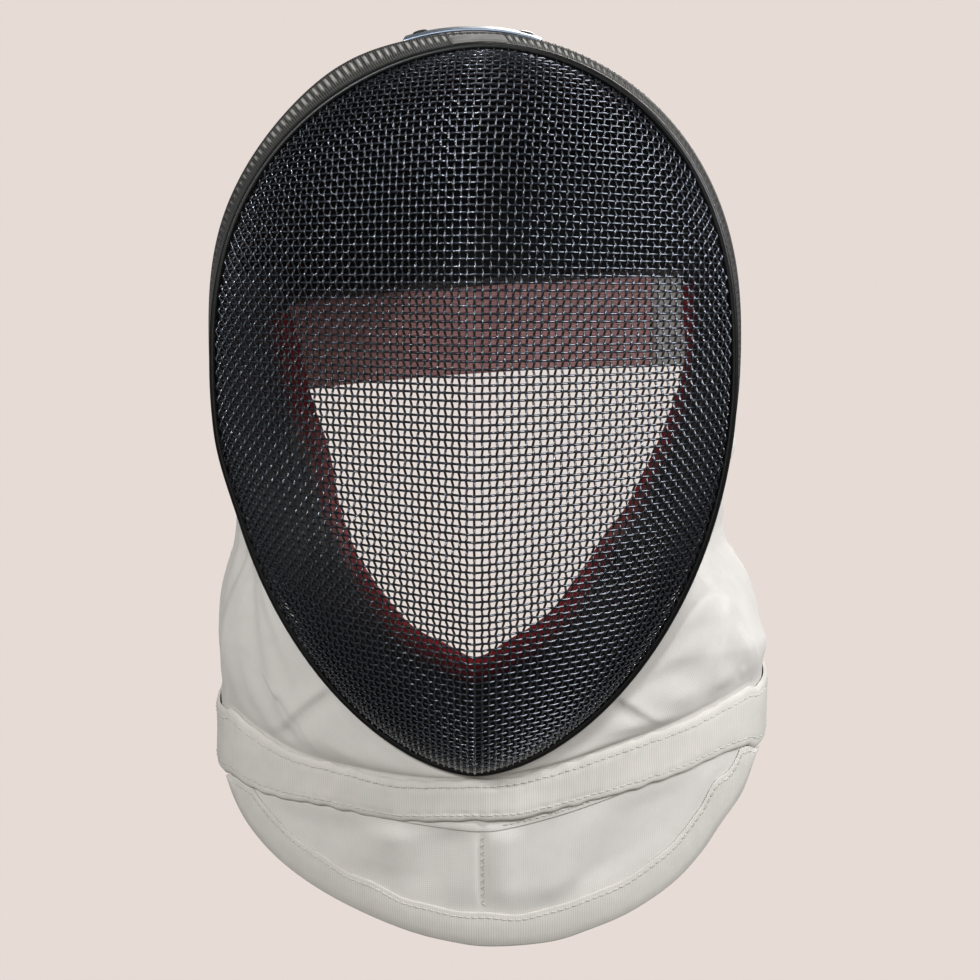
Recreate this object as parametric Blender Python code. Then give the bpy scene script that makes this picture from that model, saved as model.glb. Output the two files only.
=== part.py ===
"""A fencing mask: a wire face with a worn ridge, a wire crown, a taped rim and a hanging bib.

Metres, +Z up. The face looks along -Y and the wearer's left is +X. The shapes are worked out
about the widest level of the rim, and placed() moves each one so that the origin is where the
crown of the wearer's head touches the padding.
"""

import math
from collections import namedtuple

import bmesh
import bpy
import numpy as np

# The rim, where face and crown meet: widths from the middle, heights from the widest level.
RIM_HALF_WIDTH = 0.1035
RIM_TOP = 0.130
RIM_BOTTOM = 0.165
RIM_UPPER = (2.55, 0.54)
RIM_LOWER = (1.98, 0.59)
RIM_LEAN = 0.0045

# The face: how far the ridge stands in front of the rim, and where it stands furthest.
RIDGE_DEPTH = 0.070
RIDGE_LEVEL = -0.031
RIDGE_OFFSET = 0.004
WALL = 0.002

# The crown: its depth behind the rim, the level of its rear edge and the slope of the soft parts.
CROWN_DEPTH = 0.155
CROWN_POWER = 4.0
CROWN_SHRINK = 0.93
CROWN_FLARE = 0.082
CROWN_TOP_FLAT = 0.018
CROWN_OFFSET = -0.0028
FLARE_DEPTH = 0.045
REAR_LEVEL = 0.0285
REAR_FLAT_FROM = 0.118
JAW_LEVEL = -0.060
SOFT_SLOPE = 0.073

# The head seat, the origin: a point under the crown pad.
SEAT_BACK = 0.062
SEAT_LEVEL = 0.1225

GAP = 0.0003
RIM_CLEARANCE = 0.0022
PIPING_RADIUS = 0.0015
TAPE_THICKNESS = 0.001
TAPE_WIDTH = 0.020
JOINT_LENGTH = 0.0129
JOINT_THICKNESS = 0.0007
BINDING_LEG = 0.010
PAD_THICKNESS = 0.0035
PAD_LEVEL = 0.030
LINING_THICKNESS = 0.005
STRAP_THICKNESS = 0.003
STRAP_HEIGHT = 0.0405
STRAP_ENDS = (-0.087, 0.0735)
PLATE_HALF_LENGTH = 0.028
PLATE_FRONT = 0.024
PLATE_REAR = 0.046
PLATE_THICKNESS = 0.0012
RIVET_HALF_SPACING = 0.0216
RIVET_RADIUS = 0.0034
RIVET_HEIGHT = 0.0018

# The bib: the half width and depths of its ring, its thicknesses and its levels at the front.
BIB_HALF_WIDTH = 0.1170
BIB_OFFSET = 0.0032
BIB_FRONT = 0.0035
BIB_SIDE = 0.055
BIB_REAR = 0.112
BIB_REAR_TAPER = 0.020
BIB_THICKNESS = 0.003
BIB_BULGE = 0.004
BAND_LEVEL = -0.180
BAND_RISE = 0.0195
BAND_WIDTH = 0.018
BAND_THICKNESS = 0.0016
HEM_LEVEL = -0.2405
HEM_RISE = 0.084
HEM_WIDTH = 0.014

RIM_SAMPLES = 801
CROWN_STATIONS = 43
CROWN_ROWS = 10
BIB_STATIONS = 41

Finish = namedtuple("Finish", "colour metallic roughness")
FINISHES = {
    "black_wire": Finish((0.012, 0.014, 0.017), 0.6, 0.35),
    "black_piping": Finish((0.010, 0.012, 0.014), 0.0, 0.35),
    "grey_tape": Finish((0.060, 0.060, 0.058), 0.0, 0.85),
    "plate_steel": Finish((0.62, 0.66, 0.72), 1.0, 0.25),
    "rivet_black": Finish((0.02, 0.02, 0.022), 0.8, 0.35),
    "black_padding": Finish((0.012, 0.012, 0.013), 0.0, 0.95),
    "red_lining": Finish((0.17, 0.010, 0.014), 0.0, 0.9),
    "pink_elastic": Finish((0.34, 0.13, 0.13), 0.0, 0.9),
    "white_bib": Finish((0.62, 0.62, 0.60), 0.0, 0.85),
    "white_webbing": Finish((0.56, 0.56, 0.54), 0.0, 0.8),
}

# The free edge of the red lining on either side, from the side of the head round to the chin, and
# the place inside the rim where each station is sewn on.
LiningStation = namedtuple("LiningStation", "left_x left_z right_x right_z edge_y seam_x seam_z")
LINING = (
    LiningStation(0.0905, 0.0220, 0.0886, 0.0330, 0.102, 0.0975, 0.024),
    LiningStation(0.0838, -0.0160, 0.0890, -0.0050, 0.106, 0.0975, -0.010),
    LiningStation(0.0760, -0.0430, 0.0812, -0.0330, 0.106, 0.0945, -0.036),
    LiningStation(0.0684, -0.0650, 0.0690, -0.0570, 0.092, 0.0895, -0.058),
    LiningStation(0.0590, -0.0790, 0.0560, -0.0730, 0.062, 0.0822, -0.080),
    LiningStation(0.0440, -0.0880, 0.0435, -0.0835, 0.018, 0.0722, -0.101),
    LiningStation(0.0265, -0.0985, 0.0300, -0.0955, -0.018, 0.0602, -0.1242),
    LiningStation(0.0105, -0.1035, 0.0155, -0.1018, -0.038, 0.0310, -0.1465),
    LiningStation(-0.0028, -0.1070, 0.0028, -0.1070, -0.046, 0.0000, -0.157),
)
SEAM_BACK = 0.002


def finish_material(name):
    """The Principled material of that name."""
    finish = FINISHES[name]
    material = bpy.data.materials.get(name) or bpy.data.materials.new(name)
    material.use_nodes = True
    shader = material.node_tree.nodes["Principled BSDF"]
    shader.inputs["Base Color"].default_value = (*finish.colour, 1.0)
    shader.inputs["Metallic"].default_value = finish.metallic
    shader.inputs["Roughness"].default_value = finish.roughness
    return material


def placed(points):
    """Points moved from the rim's frame to the object's own, with the head seat at the origin."""
    return np.asarray(points, float) - (0.0, SEAT_BACK, SEAT_LEVEL)


def add_object(name, points, faces, finish):
    """A smooth-shaded mesh object with outward faces, its points given about the rim."""
    mesh = bpy.data.meshes.new(name)
    mesh.from_pydata(placed(points).tolist(), [], [tuple(face) for face in faces])
    work = bmesh.new()
    work.from_mesh(mesh)
    bmesh.ops.recalc_face_normals(work, faces=work.faces)
    work.to_mesh(mesh)
    work.free()
    mesh.shade_smooth()
    mesh.set_sharp_from_angle(angle=math.radians(40))
    mesh.materials.append(finish_material(finish))
    obj = bpy.data.objects.new(name, mesh)
    bpy.context.scene.collection.objects.link(obj)
    return obj


def grid_faces(rows, columns, start=0):
    """Triangles of a grid of rows by columns points, numbered from start, all cut the same way,
    so that layers laid over each other stay parallel."""
    first = start + np.arange(rows - 1)[:, None] * columns + np.arange(columns - 1)[None, :]
    lower = np.stack([first, first + 1, first + columns + 1], axis=-1)
    upper = np.stack([first, first + columns + 1, first + columns], axis=-1)
    return np.concatenate([lower.reshape(-1, 3), upper.reshape(-1, 3)]).tolist()


def wall(name, outer, inner, finish):
    """A closed wall between two grids of the same shape, joined round their borders."""
    rows, columns = outer.shape[:2]
    count = rows * columns
    index = np.arange(count).reshape(rows, columns)
    border = np.concatenate([index[0, :-1], index[:-1, -1], index[-1, :0:-1], index[:0:-1, 0]])
    faces = grid_faces(rows, columns)
    faces += [face[::-1] for face in grid_faces(rows, columns, count)]
    ahead = np.roll(border, -1)
    faces += np.stack([ahead, border, border + count, ahead + count], axis=-1).tolist()
    points = np.concatenate([outer.reshape(-1, 3), inner.reshape(-1, 3)])
    return add_object(name, points, faces, finish)


def swept(name, rings, finish):
    """A closed solid through rings of points, each ring one closed section, with flat ends.

    A binding's section runs in along one leg and out along the other, so its second half is cut
    into triangles the other way, parallel to the wall that it binds.
    """
    count, sides = rings.shape[:2]
    faces = []
    for ring in range(count - 1):
        for side in range(sides):
            after = (side + 1) % sides
            here, there = ring * sides, (ring + 1) * sides
            if side < sides // 2:
                faces.append((here + side, here + after, there + side))
                faces.append((here + after, there + after, there + side))
            else:
                faces.append((here + side, here + after, there + after))
                faces.append((here + side, there + after, there + side))
    faces.append(tuple(range(sides)))
    faces.append(tuple(range((count - 1) * sides, count * sides)))
    return add_object(name, rings.reshape(-1, 3), faces, finish)


def unit(vectors):
    return vectors / np.linalg.norm(vectors, axis=-1, keepdims=True)


def normals_of(grid, centre):
    """The unit normals of a grid of points, turned away from the centre."""
    normal = unit(np.cross(np.gradient(grid, axis=0), np.gradient(grid, axis=1)))
    flip = np.sign(np.sum(normal * (grid - centre), axis=-1).mean())
    return normal * flip


def smooth_path(points, count):
    """A Catmull-Rom curve through the points, at evenly spaced parameters."""
    points = np.asarray(points, float)
    ends = np.concatenate([[2 * points[0] - points[1]], points, [2 * points[-1] - points[-2]]])
    place = np.linspace(0, len(points) - 1, count)
    cell = np.minimum(place.astype(int), len(points) - 2)
    t = (place - cell)[:, None]
    before, start, end, after = (ends[cell + step] for step in range(4))
    bend = 2 * before - 5 * start + 4 * end - after
    twist = 3 * (start - end) + after - before
    return 0.5 * (2 * start + (end - before) * t + bend * t**2 + twist * t**3)


def rim_half_width(level):
    """Half the rim's width at a level: W (1 - u^a)^b, with other powers below the widest level."""
    up = np.clip(np.asarray(level, float) / RIM_TOP, 0, 1)
    down = np.clip(-np.asarray(level, float) / RIM_BOTTOM, 0, 1)
    upper = (1 - up ** RIM_UPPER[0]) ** RIM_UPPER[1]
    lower = (1 - down ** RIM_LOWER[0]) ** RIM_LOWER[1]
    return RIM_HALF_WIDTH * upper * lower


def rim_lean(level):
    """How far the rim leans toward +X as it nears the top."""
    return RIM_LEAN * np.clip(level / RIM_TOP, 0, 1) ** 3


def rim_outline(from_level, to_level, count, top=True):
    """Evenly spaced points (x, z) of the rim over the top, or under the chin, between two levels.

    The first level is on the -X side and the second on the +X side.
    """
    turn = np.linspace(0, math.pi / 2, 400)
    upper_x = RIM_HALF_WIDTH * np.cos(turn) ** (2 * RIM_UPPER[1])
    upper_z = RIM_TOP * np.sin(turn) ** (2 / RIM_UPPER[0])
    lower_x = RIM_HALF_WIDTH * np.cos(turn) ** (2 * RIM_LOWER[1])
    lower_z = -RIM_BOTTOM * np.sin(turn) ** (2 / RIM_LOWER[0])
    half_x = np.concatenate([lower_x[:0:-1], upper_x])
    half_z = np.concatenate([lower_z[:0:-1], upper_z])
    if not top:
        half_x, half_z = half_x[::-1], half_z[::-1]
    x = np.concatenate([-half_x, half_x[-2::-1]])
    z = np.concatenate([half_z, half_z[-2::-1]])
    middle = len(half_x) - 1
    sign = 1 if top else -1
    first = np.interp(sign * from_level, sign * z[: middle + 1], np.arange(middle + 1))
    last = len(x) - 1 - np.interp(sign * to_level, sign * z[: middle + 1], np.arange(middle + 1))
    run = np.concatenate([[0], np.cumsum(np.hypot(np.diff(x), np.diff(z)))])
    ends = np.interp([first, last], np.arange(len(x)), run)
    wanted = np.linspace(*ends, count)
    return np.interp(wanted, run, x), np.interp(wanted, run, z)


def ridge_depth(level):
    """How far the ridge stands in front of the rim at a level."""
    level = np.asarray(level, float)
    span = np.where(level > RIDGE_LEVEL, RIM_TOP - RIDGE_LEVEL, RIM_BOTTOM + RIDGE_LEVEL)
    reach = np.clip(np.abs(level - RIDGE_LEVEL) / span, 0, 1)
    return RIDGE_DEPTH * (1 - reach**2.3) ** 0.55


def face_section(across, level):
    """The fall of one level of the face from the ridge (1) to the rim (0).

    The crease is rounded near the forehead and sharp from the eyes down.
    """
    round_off = 0.03 + 0.32 * np.clip((level - 0.02) / (RIM_TOP - 0.02), 0, 1)
    away = np.abs(across)
    away = (np.sqrt(away**2 + round_off**2) - round_off) / (np.sqrt(1 + round_off**2) - round_off)
    return np.clip(1 - 0.93 * away - 0.07 * away**4, 0, 1) ** 0.72


def face_grid(rows, columns):
    """The middle of the face mesh's wall, rows down from the forehead, columns across to +X."""
    turn = np.linspace(0, math.pi, rows)[:, None]
    top, bottom = RIM_TOP - RIM_CLEARANCE, -RIM_BOTTOM + RIM_CLEARANCE + 0.0008
    level = (top + bottom) / 2 + (top - bottom) / 2 * np.cos(turn)
    depth = ridge_depth(level)
    fine = np.linspace(0, 1, 2001)[None, :]
    reach = depth * face_section(fine, level)
    limit = np.maximum((reach > RIM_CLEARANCE).sum(axis=1, keepdims=True) - 1, 0) / 2000
    across = np.sin(np.linspace(-math.pi / 2, math.pi / 2, columns))[None, :]
    across = across * (0.35 * np.abs(across) + 0.65) * limit
    lean = RIDGE_OFFSET * depth / RIDGE_DEPTH * (1 - across**2) + rim_lean(level)
    x = rim_half_width(level) * across + lean
    y = -depth * face_section(across, level)
    return np.stack([x, y, np.broadcast_to(level, x.shape)], axis=-1)


def rear_level(back, x):
    """The level of the crown's rear edge at a depth behind the rim: an S from jaw to nape."""
    rise = np.clip(back / REAR_FLAT_FROM, 0, 1)
    rise = rise**2 * (3 - 2 * rise)
    return JAW_LEVEL - 0.006 + (REAR_LEVEL + 0.006 - JAW_LEVEL) * rise + SOFT_SLOPE * x * rise


def crown_grid(stations, steps=120):
    """The middle of the crown mesh's wall: the rim outline, flared behind the rim and then shrunk.

    The shrink is cos^s and the depth sin^(2/q) of one angle, and the flare is largest beside the
    top. Lines run from even steps of the rim to even steps of the rear edge.
    """
    place = np.linspace(0, 1, RIM_SAMPLES)
    outline_x, outline_z = rim_outline(JAW_LEVEL, JAW_LEVEL, RIM_SAMPLES)

    def at(around, angle):
        x, z = np.interp(around, place, outline_x), np.interp(around, place, outline_z)
        upper = np.clip((z + 0.14) / 0.20, 0, 1)
        flare = CROWN_FLARE * upper**2 * (3 - 2 * upper)
        flare = flare - CROWN_TOP_FLAT * (1 - np.abs(x) / RIM_HALF_WIDTH) ** 2
        back = CROWN_DEPTH * np.sin(angle) ** (2 / CROWN_POWER)
        behind = np.sin(np.clip(back / FLARE_DEPTH, 0, 1) * math.pi / 2)
        size = np.cos(angle) ** CROWN_SHRINK * (1 + flare * behind)
        lean = rim_lean(z) * (1 - behind) + CROWN_OFFSET * behind * (1 + 0.4 * np.clip(-z / 0.05, 0, 1))
        return np.stack([x * size + lean, back, z * size], axis=-1)

    low, high = np.full(RIM_SAMPLES, 1e-6), np.full(RIM_SAMPLES, math.pi / 2 - 1e-6)
    for _ in range(50):
        middle = (low + high) / 2
        x, back, z = at(place, middle).T
        inside = z > rear_level(back, x)
        low, high = np.where(inside, middle, low), np.where(inside, high, middle)
    edge = at(place, low)
    run = np.concatenate([[0], np.cumsum(np.linalg.norm(np.diff(edge, axis=0), axis=1))])
    here = np.linspace(0, 1, stations)[:, None]
    there = np.interp(here * run[-1], run, place)
    reach = np.interp(there, place, low)
    start = math.asin((RIM_CLEARANCE / CROWN_DEPTH) ** (CROWN_POWER / 2))
    part = np.linspace(0, 1, steps)[None, :] ** 1.6
    return at(here + (there - here) * part**1.5, start + (reach - start) * part)


class Crown:
    """The crown's wall as a surface of station and of distance from the rim."""

    def __init__(self):
        fine = 4
        grid = crown_grid(fine * (CROWN_STATIONS - 1) + 1)
        self.grid = grid[::fine]
        self.normal = normals_of(grid, (0, 0.05, 0.0))[::fine]
        steps = np.linalg.norm(np.diff(self.grid, axis=1), axis=-1)
        self.run = np.concatenate([np.zeros((CROWN_STATIONS, 1)), np.cumsum(steps, axis=1)], axis=1)
        self.length = self.run[:, -1]
        turn = np.arccos(np.clip(np.sum(self.normal[:, 1:] * self.normal[:, :-1], axis=-1), -1, 1))
        self.turn = np.concatenate([np.zeros((CROWN_STATIONS, 1)), np.cumsum(turn, axis=1)], axis=1)
        self.rows = np.array([self.row_distances(station) for station in range(CROWN_STATIONS)])

    def row_distances(self, station):
        """The rows that every layer of the crown shares: the tape's edge, the binding's, and between
        them rows that share out the length and the turning of the wall."""
        length = self.length[station]
        bound = length - BINDING_LEG
        taped = min(TAPE_WIDTH, bound - 0.001)
        place = self.run[station] / length + self.turn[station] / max(self.turn[station, -1], 1e-6)
        ends = np.interp([taped, bound], self.run[station], place)
        between = np.interp(np.linspace(*ends, CROWN_ROWS), place, self.run[station])
        return np.concatenate([[0.0], between, [length - BINDING_LEG / 2, length]])

    def patch(self, stations, distances, offset):
        """Points at these distances from the rim's margin (a row for each station), off the wall."""
        points = np.empty((len(stations), distances.shape[1], 3))
        for row, station in enumerate(stations):
            for axis in range(3):
                place = np.interp(distances[row], self.run[station], self.grid[station, :, axis])
                lean = np.interp(distances[row], self.run[station], self.normal[station, :, axis])
                points[row, :, axis] = place + offset * lean
        beyond = np.maximum(distances - self.length[stations][:, None], 0)[..., None]
        ending = unit(self.grid[stations, -1] - self.grid[stations, -3])[:, None, :]
        return points + beyond * ending


def make_face():
    grid = face_grid(27, 23)
    normal = normals_of(grid, (0, 0, 0))
    wall("face_mesh", grid + normal * WALL / 2, grid - normal * WALL / 2, "black_wire")


def make_rim_piping():
    """The bead round the rim, a closed curve with a round bevel."""
    x, z = rim_outline(-RIM_BOTTOM, -RIM_BOTTOM, 89)
    x = x + rim_lean(z)
    curve = bpy.data.curves.new("rim_piping", "CURVE")
    curve.dimensions = "3D"
    curve.bevel_depth = PIPING_RADIUS
    curve.bevel_resolution = 2
    spline = curve.splines.new("POLY")
    spline.points.add(len(x) - 2)
    spline.use_cyclic_u = True
    for point, place in zip(spline.points, placed(np.stack([x, 0 * x, z], axis=-1))):
        point.co = (*place, 1.0)
    curve.materials.append(finish_material("black_piping"))
    bpy.context.scene.collection.objects.link(bpy.data.objects.new("rim_piping", curve))


def even(stations, start, end, count):
    """Distances from start to end for each station, where either may vary by station."""
    start = np.broadcast_to(start, len(stations))[:, None]
    end = np.broadcast_to(end, len(stations))[:, None]
    return start + (end - start) * np.linspace(0, 1, count)


def make_crown(crown):
    """The crown's wire wall, the tape behind the rim, the padding and the bound rear edge."""
    stations = np.arange(CROWN_STATIONS)
    length, rows = crown.length, crown.rows
    half = WALL / 2
    outer = crown.patch(stations, rows, half)
    wall("crown_mesh", outer, crown.patch(stations, rows, -half), "black_wire")

    low = half + GAP
    covered = rows[:, :2]
    outer = crown.patch(stations, covered, low + TAPE_THICKNESS)
    wall("rim_tape", outer, crown.patch(stations, covered, low), "grey_tape")

    padded = stations[crown.grid[:, 0, 2] > PAD_LEVEL]
    lined = rows[padded, 1:-2]
    lined[:, -1] -= 0.0015
    skin = -low - GAP
    inner = crown.patch(padded, lined, skin - PAD_THICKNESS)
    wall("crown_pad", crown.patch(padded, lined, skin), inner, "black_padding")

    bound = stations[1:-1]
    low += 0.0005
    leg = low + TAPE_THICKNESS
    fold = GAP + 0.0003
    near, half_way, far = -BINDING_LEG, -BINDING_LEG / 2, fold + TAPE_THICKNESS
    outside = ((fold, low), (half_way, low), (near, low), (near, leg), (half_way, leg), (far, leg))
    section = outside + tuple((distance, -offset) for distance, offset in outside[::-1])
    corners = [crown.patch(bound, (length[bound] + s)[:, None], offset)[:, 0] for s, offset in section]
    swept("rear_trim", np.stack(corners, axis=1), "grey_tape")


def make_tape_joint(crown):
    """The plain tongue that covers where the rim tape's ends meet, at the top."""
    middle = CROWN_STATIONS // 2
    stations = np.arange(middle - 1, middle + 2)
    rows = even(stations, 2 * GAP, 2 * GAP + JOINT_LENGTH, 3)
    low = WALL / 2 + 2 * GAP + TAPE_THICKNESS
    outer = crown.patch(stations, rows, low + JOINT_THICKNESS)
    wall("tape_joint", outer, crown.patch(stations, rows, low), "grey_tape")


def make_crown_plate(crown):
    """The steel plate behind the tape, with a domed rivet near each end."""
    middle = CROWN_STATIONS // 2
    around = np.arange(middle - 3, middle + 4)
    rows = even(around, PLATE_FRONT, PLATE_REAR, 4)
    low = WALL / 2 + 2 * GAP
    strip = {offset: crown.patch(around, rows, offset) for offset in (low, low + PLATE_THICKNESS)}
    along = np.linspace(-PLATE_HALF_LENGTH, PLATE_HALF_LENGTH, 9)
    grids = []
    for offset, points in strip.items():
        columns = [
            np.stack([np.interp(along, line[:, 0], values) for values in line.T], axis=-1)
            for line in points.transpose(1, 0, 2)
        ]
        grids.append(np.stack(columns, axis=1))
    inner, outer = grids
    wall("crown_plate", outer, inner, "plate_steel")
    normal = normals_of(outer, (0, 0, 0))
    turn = np.linspace(0, 2 * math.pi, 13)[:-1, None]
    dome = ((1.0, 0.0), (0.92, 0.55), (0.55, 0.92), (0.15, 1.0))
    for side, name in ((-1, "plate_rivet_left"), (1, "plate_rivet_right")):
        place, up = (
            np.array([np.interp(side * RIVET_HALF_SPACING, along, values) for values in middle_line.T])
            for middle_line in (outer[:, 1:3].mean(axis=1), normal[:, 1:3].mean(axis=1))
        )
        up = unit(up)
        right = unit(np.cross((0, 1, 0), up))
        ahead = np.cross(up, right)
        ring = RIVET_RADIUS * (np.cos(turn) * right + np.sin(turn) * ahead)
        foot = place + up * (GAP + 0.0001)
        rings = [foot + ring * radius + up * RIVET_HEIGHT * height for radius, height in dome]
        swept(name, np.array(rings), "rivet_black")


def make_rear_strap(crown):
    """The padded strap that hangs from the rear trim, across the nape, short of the right side."""
    edge = crown.grid[:, -1]
    x = np.linspace(*STRAP_ENDS, 25)
    back = edge[edge[:, 1] > 0.07]
    y = np.interp(x, back[:, 0], back[:, 1])
    top = np.interp(x, back[:, 0], back[:, 2]) - GAP - TAPE_THICKNESS - 0.0011
    drop = np.array([0.0, 0.5, 1.0]) * STRAP_HEIGHT
    outer = np.stack(np.broadcast_arrays(x[:, None], y[:, None], top[:, None] - drop), axis=-1)
    normal = normals_of(outer, (0, 0.05, 0))
    half = STRAP_THICKNESS / 2
    wall("rear_strap", outer + normal * half, outer - normal * half, "pink_elastic")


def make_lining():
    """The padded lining from the sides of the crown round the chin: a funnel with a free edge."""
    left = [(-s.left_x, s.edge_y, s.left_z, -s.seam_x, SEAM_BACK, s.seam_z) for s in LINING]
    right = [(s.right_x, s.edge_y, s.right_z, s.seam_x, SEAM_BACK, s.seam_z) for s in LINING]
    path = smooth_path(left[:-1] + right[::-1], 43)
    part = np.linspace(0, 1, 5)[None, :, None]
    grid = path[:, None, :3] * (1 - part) + path[:, None, 3:] * part
    normal = normals_of(grid, (0, 0.05, 0.02))
    swell = 0.5 + 0.5 * np.sin(math.pi * np.linspace(0, 1, 5))[None, :, None] ** 0.5
    half = LINING_THICKNESS / 2 * swell
    wall("face_lining", grid + normal * half, grid - normal * half, "red_lining")


def bib_ring(stations, level):
    """A level ring of the bib from the -X rear end to the +X one: half an ellipse and two sides.

    level is one height for each station.
    """
    arc = np.linspace(-1, 1, stations)
    front = np.clip(np.abs(arc) / 0.66, 0, 1) * math.pi / 2
    rear = np.clip((np.abs(arc) - 0.66) / 0.34, 0, 1)
    x = np.sign(arc) * (BIB_HALF_WIDTH * np.sin(front) - BIB_REAR_TAPER * rear**2)
    y = BIB_SIDE - (BIB_SIDE - BIB_FRONT) * np.cos(front) + (BIB_REAR - BIB_SIDE) * rear
    return np.stack([x + BIB_OFFSET, y, level + 0 * x], axis=-1)


def band_line(stations):
    """The band's middle line: it rises toward the nape, and the soft parts hang higher at +X."""
    ring = bib_ring(stations, 0.0)
    around = np.clip(np.abs(np.linspace(-1, 1, stations)) / 0.66, 0, 1.5) * math.pi / 2
    ring[:, 2] = BAND_LEVEL + BAND_RISE * (1 - np.cos(around)) + SOFT_SLOPE * ring[:, 0]
    return ring


def bib_upper_edge(crown, stations):
    """The bib's top edge: behind the rim under the chin, then back along the crown's bound edge."""
    turn = np.linspace(0, 1, 9)
    chin_z = -RIM_BOTTOM + (RIM_BOTTOM + JAW_LEVEL - 0.0032) * turn**1.6
    chin = [(x, 0.0038, z) for x, z in zip(rim_half_width(chin_z), chin_z)]
    bound = np.nonzero(crown.grid[:, -1, 1] < BIB_REAR - 0.008)[0]
    bound = bound[bound < CROWN_STATIONS // 2]
    beyond = crown.length[bound][:, None] + GAP + TAPE_THICKNESS + 0.0026
    left_edge = crown.patch(bound, beyond, 0.0)[1:, 0] * (-1, 1, 1)
    corner = [(left_edge[0, 0], crown.grid[0, -1, 1], chin_z[-1])]
    half = np.array(chin + corner + left_edge.tolist())
    run = np.concatenate([[0], np.cumsum(np.linalg.norm(np.diff(half, axis=0), axis=1))])
    right = crown.patch(CROWN_STATIONS - 1 - bound, beyond, 0.0)[1:, 0]
    other = np.array(chin + corner + right.tolist())
    points = np.concatenate([half[:0:-1] * (-1, 1, 1), other])
    place = np.concatenate([-run[:0:-1], run]) / run[-1]
    wanted = np.linspace(-1, 1, stations)
    return np.stack([np.interp(wanted, place, points[:, axis]) for axis in range(3)], axis=-1)


def make_bib(crown):
    """The quilted upper panel, the webbing band, the lower flap and the binding of its hem."""
    band = band_line(BIB_STATIONS)
    top = bib_upper_edge(crown, BIB_STATIONS)
    outward = unit((band - (0, BIB_SIDE, 0)) * (1, 1, 0))
    half = BIB_THICKNESS / 2

    part = np.linspace(0, 1, 6)[None, :, None]
    bulge = BIB_BULGE * np.sin(math.pi * part**2.2)
    fade = np.clip(np.abs(np.linspace(-1, 1, BIB_STATIONS)) / 0.25, 0, 1)[:, None, None]
    meeting = band + (0, 0, BAND_WIDTH / 2 + 0.001)
    slope = top[:, None] * (1 - part) + meeting[:, None] * part + outward[:, None] * bulge * fade
    lean = normals_of(slope, (0, BIB_SIDE, -0.1))
    lean = unit(lean * (1 - part) + outward[:, None] * part)
    foot = band[:, None] + (0, 0, GAP / 2 + 0.0002)
    upper = np.concatenate([slope, foot], axis=1)
    normal = np.concatenate([lean, outward[:, None]], axis=1)
    wall("bib_upper", upper + normal * half, upper - normal * half, "white_bib")

    low = half + GAP
    rows = band[:, None] + np.array([[0, 0, BAND_WIDTH / 2], [0, 0, 0], [0, 0, -BAND_WIDTH / 2]])
    webbing = [rows + outward[:, None] * offset for offset in (low + BAND_THICKNESS, low)]
    wall("bib_band", *webbing, "white_webbing")

    across = np.clip(np.abs(band[:, 0] - BIB_OFFSET) / BIB_HALF_WIDTH, 0, 1)
    hem = HEM_LEVEL + HEM_RISE * (1 - np.sqrt(1 - across**2)) ** 0.92
    below_band = band[:, 2] - BAND_WIDTH / 2 - GAP
    flap = (np.abs(np.linspace(-1, 1, BIB_STATIONS)) < 0.66) & (hem < below_band - 0.004)
    ring, out, hem, below_band = band[flap], outward[flap], hem[flap], below_band[flap]
    start = ring[:, 2] - GAP / 2 - 0.0002
    part = np.linspace(0, 1, 4)
    level = start[:, None] + (hem - start)[:, None] * part
    lower = np.stack(np.broadcast_arrays(ring[:, None, 0], ring[:, None, 1], level), axis=-1)
    wall("bib_lower", lower + out[:, None] * half, lower - out[:, None] * half, "white_bib")

    leg = low + TAPE_THICKNESS
    above = np.minimum(hem + HEM_WIDTH, below_band)
    below, touching = hem - GAP - TAPE_THICKNESS, hem - GAP
    section = (
        (touching, low), (above, low), (above, leg), (below, leg),
        (below, -leg), (above, -leg), (above, -low), (touching, -low),
    )
    flat, upright = ring * (1, 1, 0), np.array([0, 0, 1])
    corners = [flat + z[:, None] * upright + out * offset for z, offset in section]
    swept("bib_binding", np.stack(corners, axis=1), "white_webbing")


def main():
    for obj in list(bpy.data.objects):
        bpy.data.objects.remove(obj)
    crown = Crown()
    make_face()
    make_rim_piping()
    make_crown(crown)
    make_tape_joint(crown)
    make_crown_plate(crown)
    make_rear_strap(crown)
    make_lining()
    make_bib(crown)


main()
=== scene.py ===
import math

import bpy
import numpy as np
from mathutils import Matrix
from mathutils.bvhtree import BVHTree


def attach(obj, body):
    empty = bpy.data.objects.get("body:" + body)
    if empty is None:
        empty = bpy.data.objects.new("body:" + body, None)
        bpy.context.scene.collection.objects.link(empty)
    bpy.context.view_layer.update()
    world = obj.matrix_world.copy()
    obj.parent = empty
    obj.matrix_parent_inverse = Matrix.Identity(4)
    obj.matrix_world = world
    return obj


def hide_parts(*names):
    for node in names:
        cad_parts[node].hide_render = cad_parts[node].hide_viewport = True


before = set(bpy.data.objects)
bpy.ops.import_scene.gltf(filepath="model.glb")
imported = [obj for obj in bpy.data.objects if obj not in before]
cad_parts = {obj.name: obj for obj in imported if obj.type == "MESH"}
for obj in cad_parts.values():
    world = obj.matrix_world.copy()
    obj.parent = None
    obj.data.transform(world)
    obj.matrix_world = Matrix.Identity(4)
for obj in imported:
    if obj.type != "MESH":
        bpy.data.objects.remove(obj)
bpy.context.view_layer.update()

# A fencing mask held up in the air, its face along -Y and its own left along +X. Lengths are in metres.
# Shapes are worked out about the rim's widest level, and addMesh moves them to the frame's own place.

headSeat = np.array((0.0, 0.062, 0.1225))  # the frame's origin, from the rim's widest level

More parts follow.
